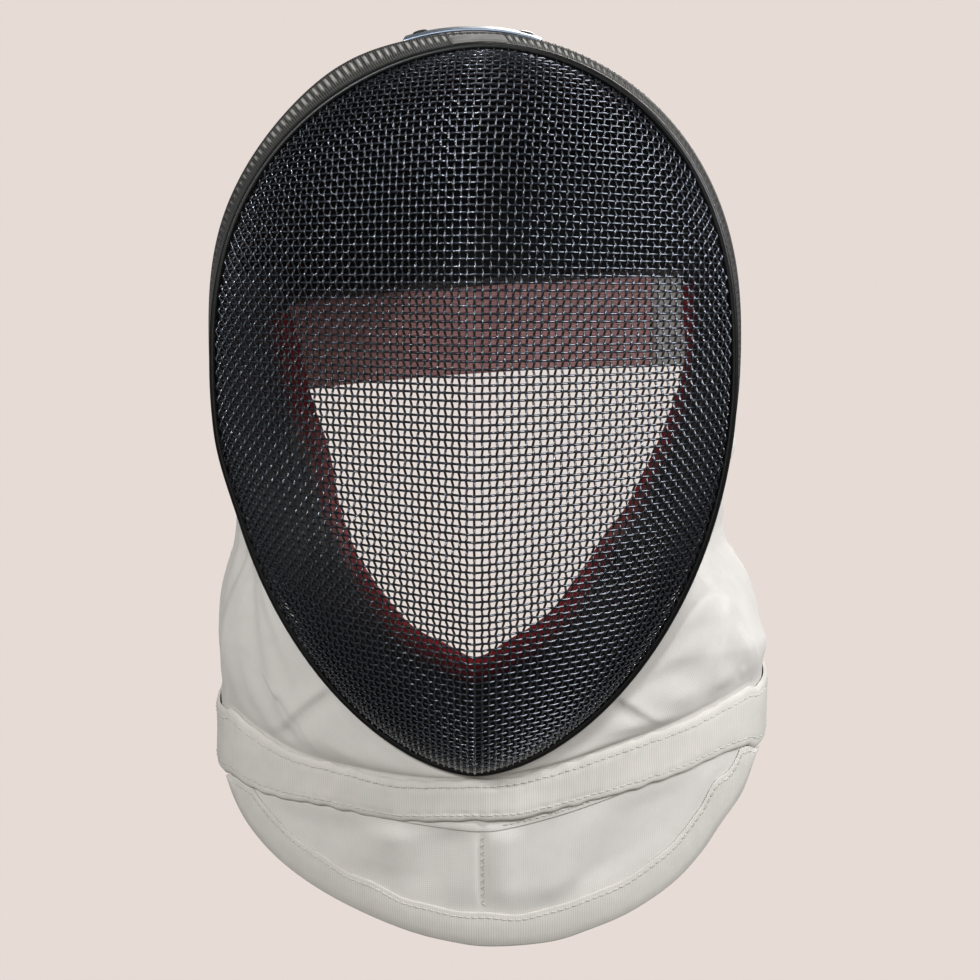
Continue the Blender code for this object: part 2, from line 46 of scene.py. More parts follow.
rim = {
    "halfWidth": 0.1035, "top": 0.130, "bottom": 0.165, "lean": 0.0045, "clearance": 0.0010,
    "upperPowers": (2.55, 0.54), "lowerPowers": (1.98, 0.59),
    "swell": 0.0024, "swellLevels": (-0.062, -0.018, 0.135), "swellSteepness": 1.15,
    "swellBack": (0.004, 0.030), "leastHalf": 0.02, "margin": 0.0001,
}
ridge = {"depth": 0.070, "level": -0.031, "offset": 0.004, "powers": (2.3, 0.55), "tilt": (-0.03, -0.95)}
faceCurve = {"sharp": 0.03, "soft": 0.32, "softFrom": 0.02, "straight": 0.93, "hook": 0.07, "power": 0.72}
crown = {
    "depth": 0.155, "power": 4.0, "shrink": 0.93, "offset": -0.0028, "lowOffset": 0.4, "lowOffsetFrom": 0.05,
    "flare": 0.082, "flareFrom": (-0.14, 0.20), "flareDepth": 0.045, "topFlat": 0.018, "firstDepth": 0.0022,
    "jawLevel": -0.060, "rearDrop": 0.006, "rearLevel": 0.0285, "rearFlatFrom": 0.118, "rearSlope": 0.073,
}
tuck = {  # how far the sides close in, and the share of it at each level
    "left": 0.0108, "right": -0.0070, "behind": 0.015, "beside": 0.05,
    "levels": (-0.118, -0.110, -0.102, -0.094, -0.088, -0.080, -0.072, -0.062, -0.054, -0.046, -0.038),
    "shares": (0.0, 0.12, 0.28, 0.5, 0.75, 1.0, 1.0, 0.75, 0.5, 0.25, 0.0),
}


def linear(hexColour):
    # an sRGB hex colour as linear RGBA
    parts = np.array([int(hexColour[k:k + 2], 16) for k in (1, 3, 5)]) / 255
    low = parts / 12.92
    high = ((parts + 0.055) / 1.055) ** 2.4
    return (*np.where(parts <= 0.04045, low, high), 1.0)


def unit(vectors):
    # each vector over its own length
    return vectors / np.maximum(np.linalg.norm(vectors, axis=-1, keepdims=True), 1e-12)


def smooth(value):
    # 0 to 1 with level ends: three squares less two cubes
    value = np.clip(value, 0, 1)
    return value * value * (3 - 2 * value)


def stretch(value, rise, fall):
    # 1 along a stretch of the value: it rises and falls smoothly, each told by its start and its length
    return smooth((value - rise[0]) / rise[1]) * (1 - smooth((value - fall[0]) / fall[1]))


def hump(value, centre, width):
    # a bell: e to the minus square of the distance from the centre over the width
    return np.exp(-(((value - centre) / width) ** 2))


def leastOf(*distances):
    # the least of several distances, point by point
    return np.minimum.reduce(np.broadcast_arrays(*distances))


def roundedEdge(distance, radius, least=0.0):
    # a quarter circle over the distance from a border: the root of 1 - (1 - distance / radius) squared
    return np.sqrt(np.clip(1 - np.clip(1 - distance / radius, 0, 1) ** 2, least, 1))


def normalsOf(grid, centre):
    # unit normals of a grid: the cross product of its two directions, turned away from the centre
    normal = unit(np.cross(np.gradient(grid, axis=0), np.gradient(grid, axis=1)))
    return normal * np.sign(np.sum(normal * (grid - centre), axis=-1).mean())


def lengthsAlong(points, axis=0):
    # running length along one axis of a grid of points: the sum of its steps so far
    steps = np.linalg.norm(np.diff(points, axis=axis), axis=-1)
    start = np.zeros_like(np.take(steps, [0], axis=axis))
    return np.concatenate([start, np.cumsum(steps, axis=axis)], axis=axis)


def readAlong(path, run, wanted):
    # a path's points at wanted running lengths, straight between its own points
    return np.stack([np.interp(wanted, run, values) for values in path.T], axis=-1)


def evenly(path, count):
    # the same path at evenly spaced lengths
    run = lengthsAlong(path)
    return readAlong(path, run, np.linspace(0, run[-1], count))


def runningMean(values, reach):
    # each value becomes the mean of those up to reach places away
    count = 2 * reach + 1
    return np.convolve(np.pad(values, reach, "edge"), np.ones(count) / count, "valid")


def atPlace(table, rowPlace, columnPlace):
    # a table of points read between its rows and columns, as a weighted mean of four neighbours
    rows, columns = table.shape[:2]
    rowPlace = np.clip(rowPlace, 0, rows - 1)
    columnPlace = np.clip(columnPlace, 0, columns - 1)
    row = np.minimum(rowPlace.astype(int), rows - 2)
    column = np.minimum(columnPlace.astype(int), columns - 2)
    down = (rowPlace - row)[..., None]
    across = (columnPlace - column)[..., None]
    upper = table[row, column] * (1 - across) + table[row, column + 1] * across
    lower = table[row + 1, column] * (1 - across) + table[row + 1, column + 1] * across
    return upper * (1 - down) + lower * down


def softNoise(x, y, seed, waves=7):
    # a fixed sum of sines in mixed directions: soft unevenness between about -1 and 1
    random = np.random.default_rng(seed)
    total = 0 * (x + y)
    for size in random.uniform(0.5, 1.5, waves):
        angle, phase = random.uniform(0, 2 * math.pi, 2)
        total = total + np.sin(size * (x * math.cos(angle) + y * math.sin(angle)) * 2 * math.pi + phase)
    return total / math.sqrt(waves)


def unevenness(run, down, wave):
    # soft noise told by its height, its sizes along and down, and its seed
    height, along, across, seed = wave
    return height * softNoise(run / along, down / across, seed)


def smoothPath(points, count):
    # a Catmull-Rom curve through the points: a cubic between each two, from their neighbours' slopes
    points = np.asarray(points, float)
    ends = np.concatenate([[2 * points[0] - points[1]], points, [2 * points[-1] - points[-2]]])
    place = np.linspace(0, len(points) - 1, count)
    cell = np.minimum(place.astype(int), len(points) - 2)
    t = (place - cell)[:, None]
    before, start, end, after = (ends[cell + step] for step in range(4))
    bend = 2 * before - 5 * start + 4 * end - after
    twist = 3 * (start - end) + after - before
    return 0.5 * (2 * start + (end - before) * t + bend * t**2 + twist * t**3)


def foldedSection(start, end, low, high, lips, folds, count, flank=()):
    # a tape folded over an edge, as pairs of a place toward that edge and a height off the cloth: a rounded
    # end and the outer leg, half an ellipse round the edge, the inner leg and half an ellipse back
    turn = np.linspace(-math.pi / 2, math.pi / 2, count)
    outer = [(start + lips[0] * (1 - math.cos(t)), low + (high - low) * (1 + math.sin(t)) / 2) for t in turn]
    outer += [*flank] + [(end + folds[0] * math.cos(t), high * math.sin(t)) for t in turn[::-1]]
    inner = [(start + lips[1] * (1 - math.cos(t)), (high - low) * (math.sin(t) - 1) / 2 - low) for t in turn]
    return outer + inner + [(end + folds[1] * math.cos(t), low * math.sin(t)) for t in turn]


def addMesh(name, points, faces, material, clothMap=None, tint=None, replaces=()):
    # one mesh piece from points and arrays of faces, turned outward by the sign of its volume
    points = np.asarray(points, float).reshape(-1, 3)
    volume = 0.0
    for part in faces:
        for corner in range(1, part.shape[1] - 1):
            a, b, c = points[part[:, 0]], points[part[:, corner]], points[part[:, corner + 1]]
            volume += np.sum(a * np.cross(b, c))
    if volume < 0:
        faces = [part[:, ::-1] for part in faces]
    sizes = np.concatenate([np.full(len(part), part.shape[1]) for part in faces])
    corners = np.concatenate([part.ravel() for part in faces])
    mesh = bpy.data.meshes.new(name)
    mesh.vertices.add(len(points))
    mesh.vertices.foreach_set("co", (points - headSeat).ravel())
    mesh.loops.add(len(corners))
    mesh.loops.foreach_set("vertex_index", corners.astype(np.int32))
    mesh.polygons.add(len(sizes))
    starts = np.concatenate([[0], np.cumsum(sizes)[:-1]])
    mesh.polygons.foreach_set("loop_start", starts.astype(np.int32))
    mesh.update(calc_edges=True)
    mesh.validate()
    mesh.shade_smooth()
    if clothMap is not None:
        layer = mesh.attributes.new("clothMap", "FLOAT_VECTOR", "POINT")
        layer.data.foreach_set("vector", np.asarray(clothMap, np.float32).ravel())
    if tint is not None:
        layer = mesh.attributes.new("tint", "FLOAT", "POINT")
        layer.data.foreach_set("value", np.asarray(tint, np.float32).ravel())
    mesh.materials.append(material)
    piece = bpy.data.objects.new(name, mesh)
    bpy.context.scene.collection.objects.link(piece)
    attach(piece, "root")
    if replaces:
        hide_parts(*replaces)
    return piece


def gridQuads(rows, columns, start=0):
    # the four-sided faces of a grid whose points are numbered row by row
    first = start + np.arange(rows - 1)[:, None] * columns + np.arange(columns - 1)[None, :]
    return np.stack([first, first + 1, first + columns + 1, first + columns], axis=-1).reshape(-1, 4)


def shellFaces(rows, columns):
    # the faces of a closed wall between two grids of the same shape, with quads round their border
    count = rows * columns
    index = np.arange(count).reshape(rows, columns)
    border = np.concatenate([index[0, :-1], index[:-1, -1], index[-1, :0:-1], index[:0:-1, 0]])
    ahead = np.roll(border, -1)
    rimQuads = np.stack([ahead, border, border + count, ahead + count], axis=-1)
    return [gridQuads(rows, columns), gridQuads(rows, columns, count)[:, ::-1], rimQuads]


def ringQuads(here, there):
    # quads between neighbouring rings of point numbers
    corners = [here, np.roll(here, -1, axis=1), np.roll(there, -1, axis=1), there]
    return np.stack(corners, axis=-1).reshape(-1, 4)


def addShell(name, outer, inner, material, replaces=(), tint=None):
    # a closed sheet between an outer and an inner grid, mapped in metres along and down it
    middle = (outer + inner) / 2
    along = lengthsAlong(middle, 0).mean(axis=1, keepdims=True) + 0 * middle[..., 0]
    down = lengthsAlong(middle, 1)
    clothMap = np.stack([along, down, 0 * down], axis=-1).reshape(-1, 3)
    tints = None if tint is None else np.tile(tint.ravel(), 2)
    points = np.concatenate([outer.reshape(-1, 3), inner.reshape(-1, 3)])
    faces = shellFaces(*outer.shape[:2])
    return addMesh(name, points, faces, material, np.tile(clothMap, (2, 1)), tints, replaces)


def addCloth(name, middle, normal, half, material, replaces=(), tint=None):
    # a closed sheet that stands off both sides of its middle by half its thickness
    off = normal * half[..., None]
    return addShell(name, middle + off, middle - off, material, replaces, tint)


def addCarried(name, rings, material, closed=False, replaces=()):
    # a profile carried along a path: rings of points joined in order, capped unless the path is closed
    count, sides = rings.shape[:2]
    index = np.arange(count * sides).reshape(count, sides)
    if closed:
        faces = [ringQuads(index, np.roll(index, -1, axis=0))]
    else:
        faces = [ringQuads(index[:-1], index[1:]), index[:1, ::-1], index[-1:]]
    along = lengthsAlong(rings.mean(axis=1))[:, None] + np.zeros((1, sides))
    around = lengthsAlong(rings, 1)
    clothMap = np.stack([along, around, 0 * around], axis=-1)
    return addMesh(name, rings, faces, material, clothMap, None, replaces)


def addWires(name, paths, ups, radius, sides, material, replaces=()):
    # round wires: a ring at each point of a path, radius times cosine up plus sine sideways
    turn = 2 * math.pi * np.arange(sides) / sides
    points, quads, caps, start = [], [], [], 0
    for path, up in zip(paths, ups):
        along = unit(np.gradient(path, axis=0))
        up = unit(up - along * np.sum(up * along, axis=-1, keepdims=True))
        side = np.cross(along, up)
        ring = np.cos(turn)[None, :, None] * up[:, None] + np.sin(turn)[None, :, None] * side[:, None]
        points.append((path[:, None] + radius * ring).reshape(-1, 3))
        index = start + np.arange(len(path) * sides).reshape(-1, sides)
        quads.append(ringQuads(index[:-1], index[1:]))
        caps += [index[0, ::-1], index[-1]]
        start += len(path) * sides
    faces = [np.concatenate(quads), np.array(caps)]
    return addMesh(name, np.concatenate(points), faces, material, replaces=replaces)


thread = {"radius": 0.00028, "sides": 5, "points": 5, "arch": 1.1, "sink": 0.5, "start": 0.001}


def addStitches(name, rows, stitch, gap, zigzag=0.0):
    # a sewn row: half sines of thread along a path, dipping into the cloth at both ends; zigzag swings them
    paths, ups = [], []
    share = np.linspace(0, 1, thread["points"])
    height = thread["radius"] * (thread["arch"] * np.sin(math.pi * share) - thread["sink"])
    for path, lean in rows:
        run = lengthsAlong(path)
        starts = np.arange(thread["start"], run[-1] - stitch, stitch + gap)
        places = starts[:, None] + stitch * share[None, :]
        points = readAlong(path, run, places)
        up = unit(readAlong(lean, run, places))
        side = unit(np.cross(np.gradient(points, axis=1), up))
        swing = zigzag * (2 * share - 1)[None, :] * (-1.0) ** np.arange(len(starts))[:, None]
        points = points + up * height[None, :, None] + side * swing[..., None]
        paths.extend(points)
        ups.extend(up)
    addWires(name, paths, ups, thread["radius"], thread["sides"], threadFinish)


perMillimetre = 1000.0  # scales count cells to the metre, and are told here as cells to the millimetre
wavePeriod = 0.31416    # a wave texture repeats every 0.31416 over its scale


def addNode(tree, kind, inputs=None, **settings):
    # one shader node: settings go on the node, and each input is a value or another node's socket
    made = tree.nodes.new("ShaderNode" + kind)
    for name, value in settings.items():
        setattr(made, name, value)
    for name, value in (inputs or {}).items():
        if isinstance(value, bpy.types.NodeSocket):
            tree.links.new(value, made.inputs[name])
        else:
            made.inputs[name].default_value = value
    return made


def startMaterial(name, values):
    # a Principled material, with its plain numbers on the shader's own sockets
    material = bpy.data.materials.new(name)
    material.use_nodes = True
    shader = material.node_tree.nodes["Principled BSDF"]
    for socket, value in values.items():
        shader.inputs[socket].default_value = value
    return material, material.node_tree, shader


def coatedMaterial(name, values, blotches, detail, colours, shades, gloss, grit=0.0):
    # a hard coat: one noise moves its colour between two and its roughness too; grit raises fine bumps
    material, tree, shader = startMaterial(name, values)
    place = addNode(tree, "TexCoord").outputs["Object"]
    noise = {"Vector": place, "Scale": blotches * perMillimetre, "Detail": detail}
    mottle = addNode(tree, "TexNoise", noise).outputs["Fac"]
    ramp = addNode(tree, "ValToRGB", {"Fac": mottle})
    for element, colour, shade in zip(ramp.color_ramp.elements, colours, shades):
        element.color, element.position = linear(colour), shade
    tree.links.new(ramp.outputs["Color"], shader.inputs["Base Color"])
    rough = addNode(tree, "MapRange", {"Value": mottle, "To Min": gloss[0], "To Max": gloss[1]})
    tree.links.new(rough.outputs["Result"], shader.inputs["Roughness"])
    if grit:
        noise = {"Vector": place, "Scale": grit * perMillimetre, "Detail": 2.0}
        grains = addNode(tree, "TexNoise", noise).outputs["Fac"]
        bump = addNode(tree, "Bump", {"Strength": 0.25, "Distance": 0.00005, "Height": grains})
        tree.links.new(bump.outputs["Normal"], shader.inputs["Normal"])
    return material


def steelMaterial():
    # rolled stainless strip: bright cold metal with fine lengthwise brushing, stretched along x
    values = {"Metallic": 1.0, "Base Color": linear("#8f9dae")}
    material, tree, shader = startMaterial("rolledStainless", values)
    place = addNode(tree, "TexCoord").outputs["Object"]
    streaks = (0.06 * perMillimetre, 2.2 * perMillimetre, 2.2 * perMillimetre)
    stretched = addNode(tree, "Mapping", {"Vector": place, "Scale": streaks})
    brush = addNode(tree, "TexNoise", {"Vector": stretched.outputs["Vector"], "Scale": 1.0, "Detail": 4.0})
    gloss = addNode(tree, "MapRange", {"Value": brush.outputs["Fac"], "To Min": 0.32, "To Max": 0.46})
    tree.links.new(gloss.outputs["Result"], shader.inputs["Roughness"])
    bump = addNode(tree, "Bump", {"Strength": 0.15, "Distance": 0.00002, "Height": brush.outputs["Fac"]})
    tree.links.new(bump.outputs["Normal"], shader.inputs["Normal"])
    return material


def wovenMaterial(name, colours, ribs, ribHeight, fuzz, sheen, shades=(0.2, 0.8), overlays=()):
    # woven cloth: waves for the ribs along and across its map, plus thread noise, give its height; its tone
    # sums a share of the height, a painted highlight on the raised ribs and painted shade in their hollows
    # with random tone from the thread noise, and of soft patches; overlays mix in a colour by the tint
    # attribute, which carries painted shade and highlight, and on the tape its rubbed paleness too
    toneShare = 0.55
    values = {"Roughness": 0.85, "IOR": 1.46, "Sheen Weight": sheen, "Sheen Roughness": 0.5}
    material, tree, shader = startMaterial(name, values)
    place = addNode(tree, "TexCoord").outputs["Object"]
    cloth = addNode(tree, "Attribute", attribute_name="clothMap").outputs["Vector"]
    threads = addNode(
        tree, "TexNoise", {"Vector": place, "Scale": 2.6 * perMillimetre, "Detail": 4.0, "Roughness": 0.7}
    )
    grain = addNode(tree, "Math", {0: threads.outputs["Fac"], 1: fuzz}, operation="MULTIPLY")
    height = grain.outputs["Value"]
    for spacing, direction in zip(ribs, "XY"):
        if spacing:
            waves = {"Scale": wavePeriod / spacing, "Distortion": 0.35, "Detail": 2.0, "Detail Scale": 1.5}
            rib = addNode(
                tree, "TexWave", {"Vector": cloth, **waves}, wave_type="BANDS", bands_direction=direction
            )
            added = addNode(tree, "Math", {0: rib.outputs["Fac"], 1: height}, operation="ADD")
            height = added.outputs["Value"]
    patches = addNode(tree, "TexNoise", {"Vector": place, "Scale": 0.125 * perMillimetre, "Detail": 3.0})
    tone = addNode(tree, "Math", {0: patches.outputs["Fac"], 1: toneShare}, operation="MULTIPLY")
    # the height's share paints the raised ribs lighter and their hollows darker: painted highlight and shade
    shade = addNode(tree, "MapRange", {"Value": height, "From Max": 1.0 + fuzz, "To Max": toneShare})
    both = addNode(tree, "Math", {0: tone.outputs["Value"], 1: shade.outputs["Result"]}, operation="ADD")
    ramp = addNode(tree, "ValToRGB", {"Fac": both.outputs["Value"]})
    for element, colour, stop in zip(ramp.color_ramp.elements, colours, shades):
        element.color, element.position = linear(colour), stop
    painted = ramp.outputs["Color"]
    tint = addNode(tree, "Attribute", attribute_name="tint").outputs["Fac"] if overlays else None
    for share, colour in overlays:
        factor = addNode(tree, "Math", {0: tint, 1: share}, operation="MULTIPLY").outputs["Value"]
        mix = {"Factor": factor, 6: painted, 7: linear(colour)}  # sockets 6 and 7 are the two colours
        painted = addNode(tree, "Mix", mix, data_type="RGBA").outputs[2]
    tree.links.new(painted, shader.inputs["Base Color"])
    bump = addNode(tree, "Bump", {"Strength": 0.7, "Distance": ribHeight, "Height": height})
    tree.links.new(bump.outputs["Normal"], shader.inputs["Normal"])
    return material


print("materials")
# powder-coated steel wire: near black and half glossy, the coat thin and cold on the crests
wireFinish = coatedMaterial(
    "powderCoatedWire",
    {"IOR": 1.5, "Coat Weight": 1.0, "Coat Roughness": 0.1, "Specular IOR Level": 0.8,
     "Specular Tint": linear("#dbe7ff")},
    0.9, 3.0, ("#04060a", "#0c121a"), (0.35, 0.75), (0.17, 0.29), grit=5.0,
)
# extruded black vinyl: smooth, softly glossy, faintly scuffed
beadFinish = coatedMaterial(
    "extrudedVinyl", {"IOR": 1.52, "Specular IOR Level": 0.3},
    0.26, 5.0, ("#020203", "#08090a"), (0.0, 1.0), (0.28, 0.42),
)
# black enamel on the rivets: glossy, a little worn
rivetFinish = coatedMaterial(
    "blackEnamel", {"IOR": 1.5}, 0.7, 4.0, ("#0b0c0e", "#26282c"), (0.0, 1.0), (0.18, 0.4),
)
steelFinish = steelMaterial()
# polyester grosgrain: dark ribs, paler over the wires, partly rubbed and partly a painted highlight on the
# crests, and darkened by painted shade in the gaps between the wires, along its rear edge, low down, at the
# right and in front; the real ribs, 0.85 mm apart, are drawn 1.1 mm apart so that they show
tapeFinish = wovenMaterial(
    "grosgrainTape", ("#0a0a0a", "#5a5853"), (0.0011, 0), 0.0003, 0.3, 0.1,
    (0.32, 0.72), ((0.75, "#c2c0ba"), (-1.0, "#060606")),
)
# plain twill tape: too fine a weave to show, so only its fuzz does
tongueFinish = wovenMaterial("twillTape", ("#4e4c48", "#8b8984"), (0, 0), 0.0001, 0.8, 0.15)
# black nylon over padding: dull and nearly black; its 0.4 mm weave is drawn 1.2 mm wide so that it shows
paddingFinish = wovenMaterial("blackNylon", ("#040405", "#0d0e0f"), (0.0012, 0.0012), 0.0001, 0.6, 0.0)
# red brushed polyester: a soft nap, turned toward black by painted shade away from its free edge, toward the
# rim
liningFinish = wovenMaterial(
    "brushedPolyester", ("#800d17", "#b81823"), (0, 0), 0.0002, 1.0, 0.0, overlays=((1.0, "#101113"),),
)
# pink elastic: soft ribs along it, 1.1 mm apart
elasticFinish = wovenMaterial("pinkElastic", ("#b47271", "#f4c0bc"), (0, 0.0011), 0.0003, 0.9, 0.0)
# ballistic nylon: a matt white plain weave, its 0.5 mm threads drawn 0.9 mm apart so that they show
bibFinish = wovenMaterial("ballisticNylon", ("#cac6c0", "#dbd6d0"), (0.0009, 0.0009), 0.00003, 0.7, 0.1)
# white polyester webbing: faint ribs 1 mm apart across it
webbingFinish = wovenMaterial("whiteWebbing", ("#c6c2bb", "#d9d4cc"), (0.0010, 0), 0.00006, 0.7, 0.1)
# polyester sewing thread: off-white and softly matt
threadFinish = wovenMaterial("polyesterThread", ("#b5b3aa", "#d3d1c8"), (0, 0), 0.00005, 1.0, 0.1)


def rimHalfWidth(level):
    # half the rim's width: (1 - share^a)^b of its widest, the share being the level over the top or bottom
    up = np.clip(level / rim["top"], 0, 1)
    down = np.clip(-level / rim["bottom"], 0, 1)
    (a, b), (c, d) = rim["upperPowers"], rim["lowerPowers"]
    return rim["halfWidth"] * (1 - up**a) ** b * (1 - down**c) ** d


def rimLean(level):
    # the rim's top leans toward +X by the cube of the height
    return rim["lean"] * np.clip(level / rim["top"], 0, 1) ** 3


def leftSwell(x, y, z):
    # how far the rim and what is near it stand out at -X: a rise and a fall over the level, times the cube
    # of the share across, gone behind the tape
    low, middle, high = rim["swellLevels"]
    share = np.where(z < middle, (z - low) / (middle - low), (high - z) / (high - middle))
    side = np.clip(-x / np.maximum(rimHalfWidth(z), rim["leastHalf"]), 0, 1) ** 3
    start, length = rim["swellBack"]
    return rim["swell"] * smooth(share * rim["swellSteepness"]) * side * (1 - smooth((y - start) / length))


def onRim(x, z):
    # x of the real rim for x and z of its even outline: it leans at the top and swells at -X
    return x + rimLean(z) - leftSwell(x, 0 * x, z)


def rimOutline(fromLevel, toLevel, count):
    # evenly spaced x and z of the rim from a level on the -X side over the top to one on the +X side;
    # each quarter runs as a power of the cosine across and of the sine up
    turn = np.linspace(0, math.pi / 2, 400)
    (a, b), (c, d) = rim["upperPowers"], rim["lowerPowers"]
    upperX, upperZ = rim["halfWidth"] * np.cos(turn) ** (2 * b), rim["top"] * np.sin(turn) ** (2 / a)
    lowerX, lowerZ = rim["halfWidth"] * np.cos(turn) ** (2 * d), -rim["bottom"] * np.sin(turn) ** (2 / c)
    halfX = np.concatenate([lowerX[:0:-1], upperX])
    halfZ = np.concatenate([lowerZ[:0:-1], upperZ])
    x = np.concatenate([-halfX, halfX[-2::-1]])
    z = np.concatenate([halfZ, halfZ[-2::-1]])
    middle = len(halfX) - 1
    first = np.interp(fromLevel, z[:middle + 1], np.arange(middle + 1))
    last = len(x) - 1 - np.interp(toLevel, z[:middle + 1], np.arange(middle + 1))
    run = np.concatenate([[0], np.cumsum(np.hypot(np.diff(x), np.diff(z)))])
    wanted = np.linspace(*np.interp([first, last], np.arange(len(x)), run), count)
    return np.interp(wanted, run, x), np.interp(wanted, run, z)


def ridgeDepth(level):
    # how far the ridge stands in front of the rim: depth (1 - share^p)^q, from its deepest level to an end
    span = np.where(level > ridge["level"], rim["top"] - ridge["level"], rim["bottom"] + ridge["level"])
    reach = np.clip(np.abs(level - ridge["level"]) / span, 0, 1)
    p, q = ridge["powers"]
    return ridge["depth"] * (1 - reach**p) ** q


def faceSection(across, level):
    # the fall of one level from the ridge (1) to the rim (0), a power of 1 less the rounded distance:
    # round at the forehead, sharp below it
    high = np.clip((level - faceCurve["softFrom"]) / (rim["top"] - faceCurve["softFrom"]), 0, 1)
    roundOff = faceCurve["sharp"] + faceCurve["soft"] * high
    away = (np.sqrt(across**2 + roundOff**2) - roundOff) / (np.sqrt(1 + roundOff**2) - roundOff)
    fall = 1 - faceCurve["straight"] * away - faceCurve["hook"] * away**4
    return np.clip(fall, 0, 1) ** faceCurve["power"]


def facePoint(ridgeLevel, across):
    # the point of a row that leaves the ridge at ridgeLevel: rows tilt with the ridge, so its level is
    # ridgeLevel plus the tilt times the depth behind the ridge, found by repeating
    tilt = ridge["tilt"][0] + ridge["tilt"][1] * ridgeLevel
    front = ridgeDepth(ridgeLevel)
    level = ridgeLevel + 0 * across
    for _ in range(12):
        level = ridgeLevel + tilt * (front - ridgeDepth(level) * faceSection(across, level))
        level = np.clip(level, -rim["bottom"] + 1e-5, rim["top"] - 1e-5)
    depth = ridgeDepth(level)
    lean = ridge["offset"] * depth / ridge["depth"] * (1 - across**2) + rimLean(level)
    x = rimHalfWidth(level) * across
    y = -depth * faceSection(across, level)
    return np.stack([x + lean - leftSwell(x, 0 * x, level), y, level], axis=-1)


def tabulateFace(rows=481, columns=361):
    # the face read by length: rows by length down the ridge, columns by length along a row from the ridge
    fineAcross = np.sin(np.linspace(-1, 1, 1201) * math.pi / 2)
    centre = len(fineAcross) // 2
    top, bottom = rim["top"] - rim["margin"], -rim["bottom"] + rim["margin"]
    fineLevel = (top + bottom) / 2 + (top - bottom) / 2 * np.cos(np.linspace(0, math.pi, 2001))
    ridgeRun = lengthsAlong(np.stack([0 * fineLevel, -ridgeDepth(fineLevel), fineLevel], axis=-1))
    levels = np.interp(np.linspace(0, ridgeRun[-1], rows), ridgeRun, fineLevel)
    fine = facePoint(levels[:, None], fineAcross[None, :])
    steps = lengthsAlong(fine, 1)
    arc = steps - steps[:, centre:centre + 1]
    inside = -fine[..., 1] > rim["clearance"]
    place = np.linspace(-1, 1, columns)
    points = np.empty((rows, columns, 3))
    reach = np.empty((rows, 2))
    for row in range(rows):
        kept = np.nonzero(inside[row])[0]
        first, last = (kept[0], kept[-1]) if len(kept) else (centre - 1, centre + 1)
        reach[row] = -arc[row, first], arc[row, last]
        wanted = np.where(place < 0, place * reach[row, 0], place * reach[row, 1])
        points[row] = readAlong(fine[row], arc[row], wanted)
    normals = normalsOf(points, (0, 0.02, -0.02))
    return {"rows": rows, "columns": columns, "length": ridgeRun[-1], "reach": reach, "points": points,
            "normals": normals}


faceTable = tabulateFace()


def faceAt(ridgeRun, rowRun):
    # points and normals of the face at a length down the ridge and a length along the row
    rowPlace = np.asarray(ridgeRun) / faceTable["length"] * (faceTable["rows"] - 1)
    where = np.arange(faceTable["rows"])
    left, right = (np.interp(rowPlace, where, reach) for reach in faceTable["reach"].T)
    fraction = np.clip(np.where(rowRun < 0, rowRun / left, rowRun / right), -1, 1)
    columnPlace = (fraction + 1) / 2 * (faceTable["columns"] - 1)
    points = atPlace(faceTable["points"], rowPlace, columnPlace)
    return points, unit(atPlace(faceTable["normals"], rowPlace, columnPlace))


def rearLevel(back, x):
    # the level of the crown's rear edge: a smooth rise from the jaw, sloping up toward +X
    rise = smooth(back / crown["rearFlatFrom"])
    low = crown["jawLevel"] - crown["rearDrop"]
    return low + (crown["rearLevel"] - low) * rise + crown["rearSlope"] * x * rise


def tuckIn(x, back, z):
    # how far the crown and the bib close in at the sides: a share for the level, growing back and outward
    level = np.interp(z, tuck["levels"], tuck["shares"])
    most = np.where(x > 0, tuck["left"], tuck["right"])
    return most * level * smooth(back / tuck["behind"]) * smooth(np.abs(x) / tuck["beside"])


insideCrown = (0, 0.05, 0)  # normals of what lies on the crown turn away from here
crownRim = rimOutline(crown["jawLevel"], crown["jawLevel"], 1201)
rimPlace = np.linspace(0, 1, len(crownRim[0]))


def crownShape(around, angle):
    # the rim outline flared behind the rim and shrunk by a power of the cosine of an angle, its depth a
    # power of the sine of the same angle
    x, z = (np.interp(around, rimPlace, values) for values in crownRim)
    level, height = crown["flareFrom"]
    flare = crown["flare"] * smooth((z - level) / height)
    flare = flare - crown["topFlat"] * (1 - np.abs(x) / rim["halfWidth"]) ** 2
    back = crown["depth"] * np.sin(angle) ** (2 / crown["power"])
    behind = np.sin(np.clip(back / crown["flareDepth"], 0, 1) * math.pi / 2)
    size = np.cos(angle) ** crown["shrink"] * (1 + flare * behind)
    shift = crown["offset"] * behind * (1 + crown["lowOffset"] * np.clip(-z / crown["lowOffsetFrom"], 0, 1))
    across = x * size + (rimLean(z) * (1 - behind) + shift) - leftSwell(x, back, z)
    return np.stack([across - tuckIn(across, back, z * size), back, z * size], axis=-1)


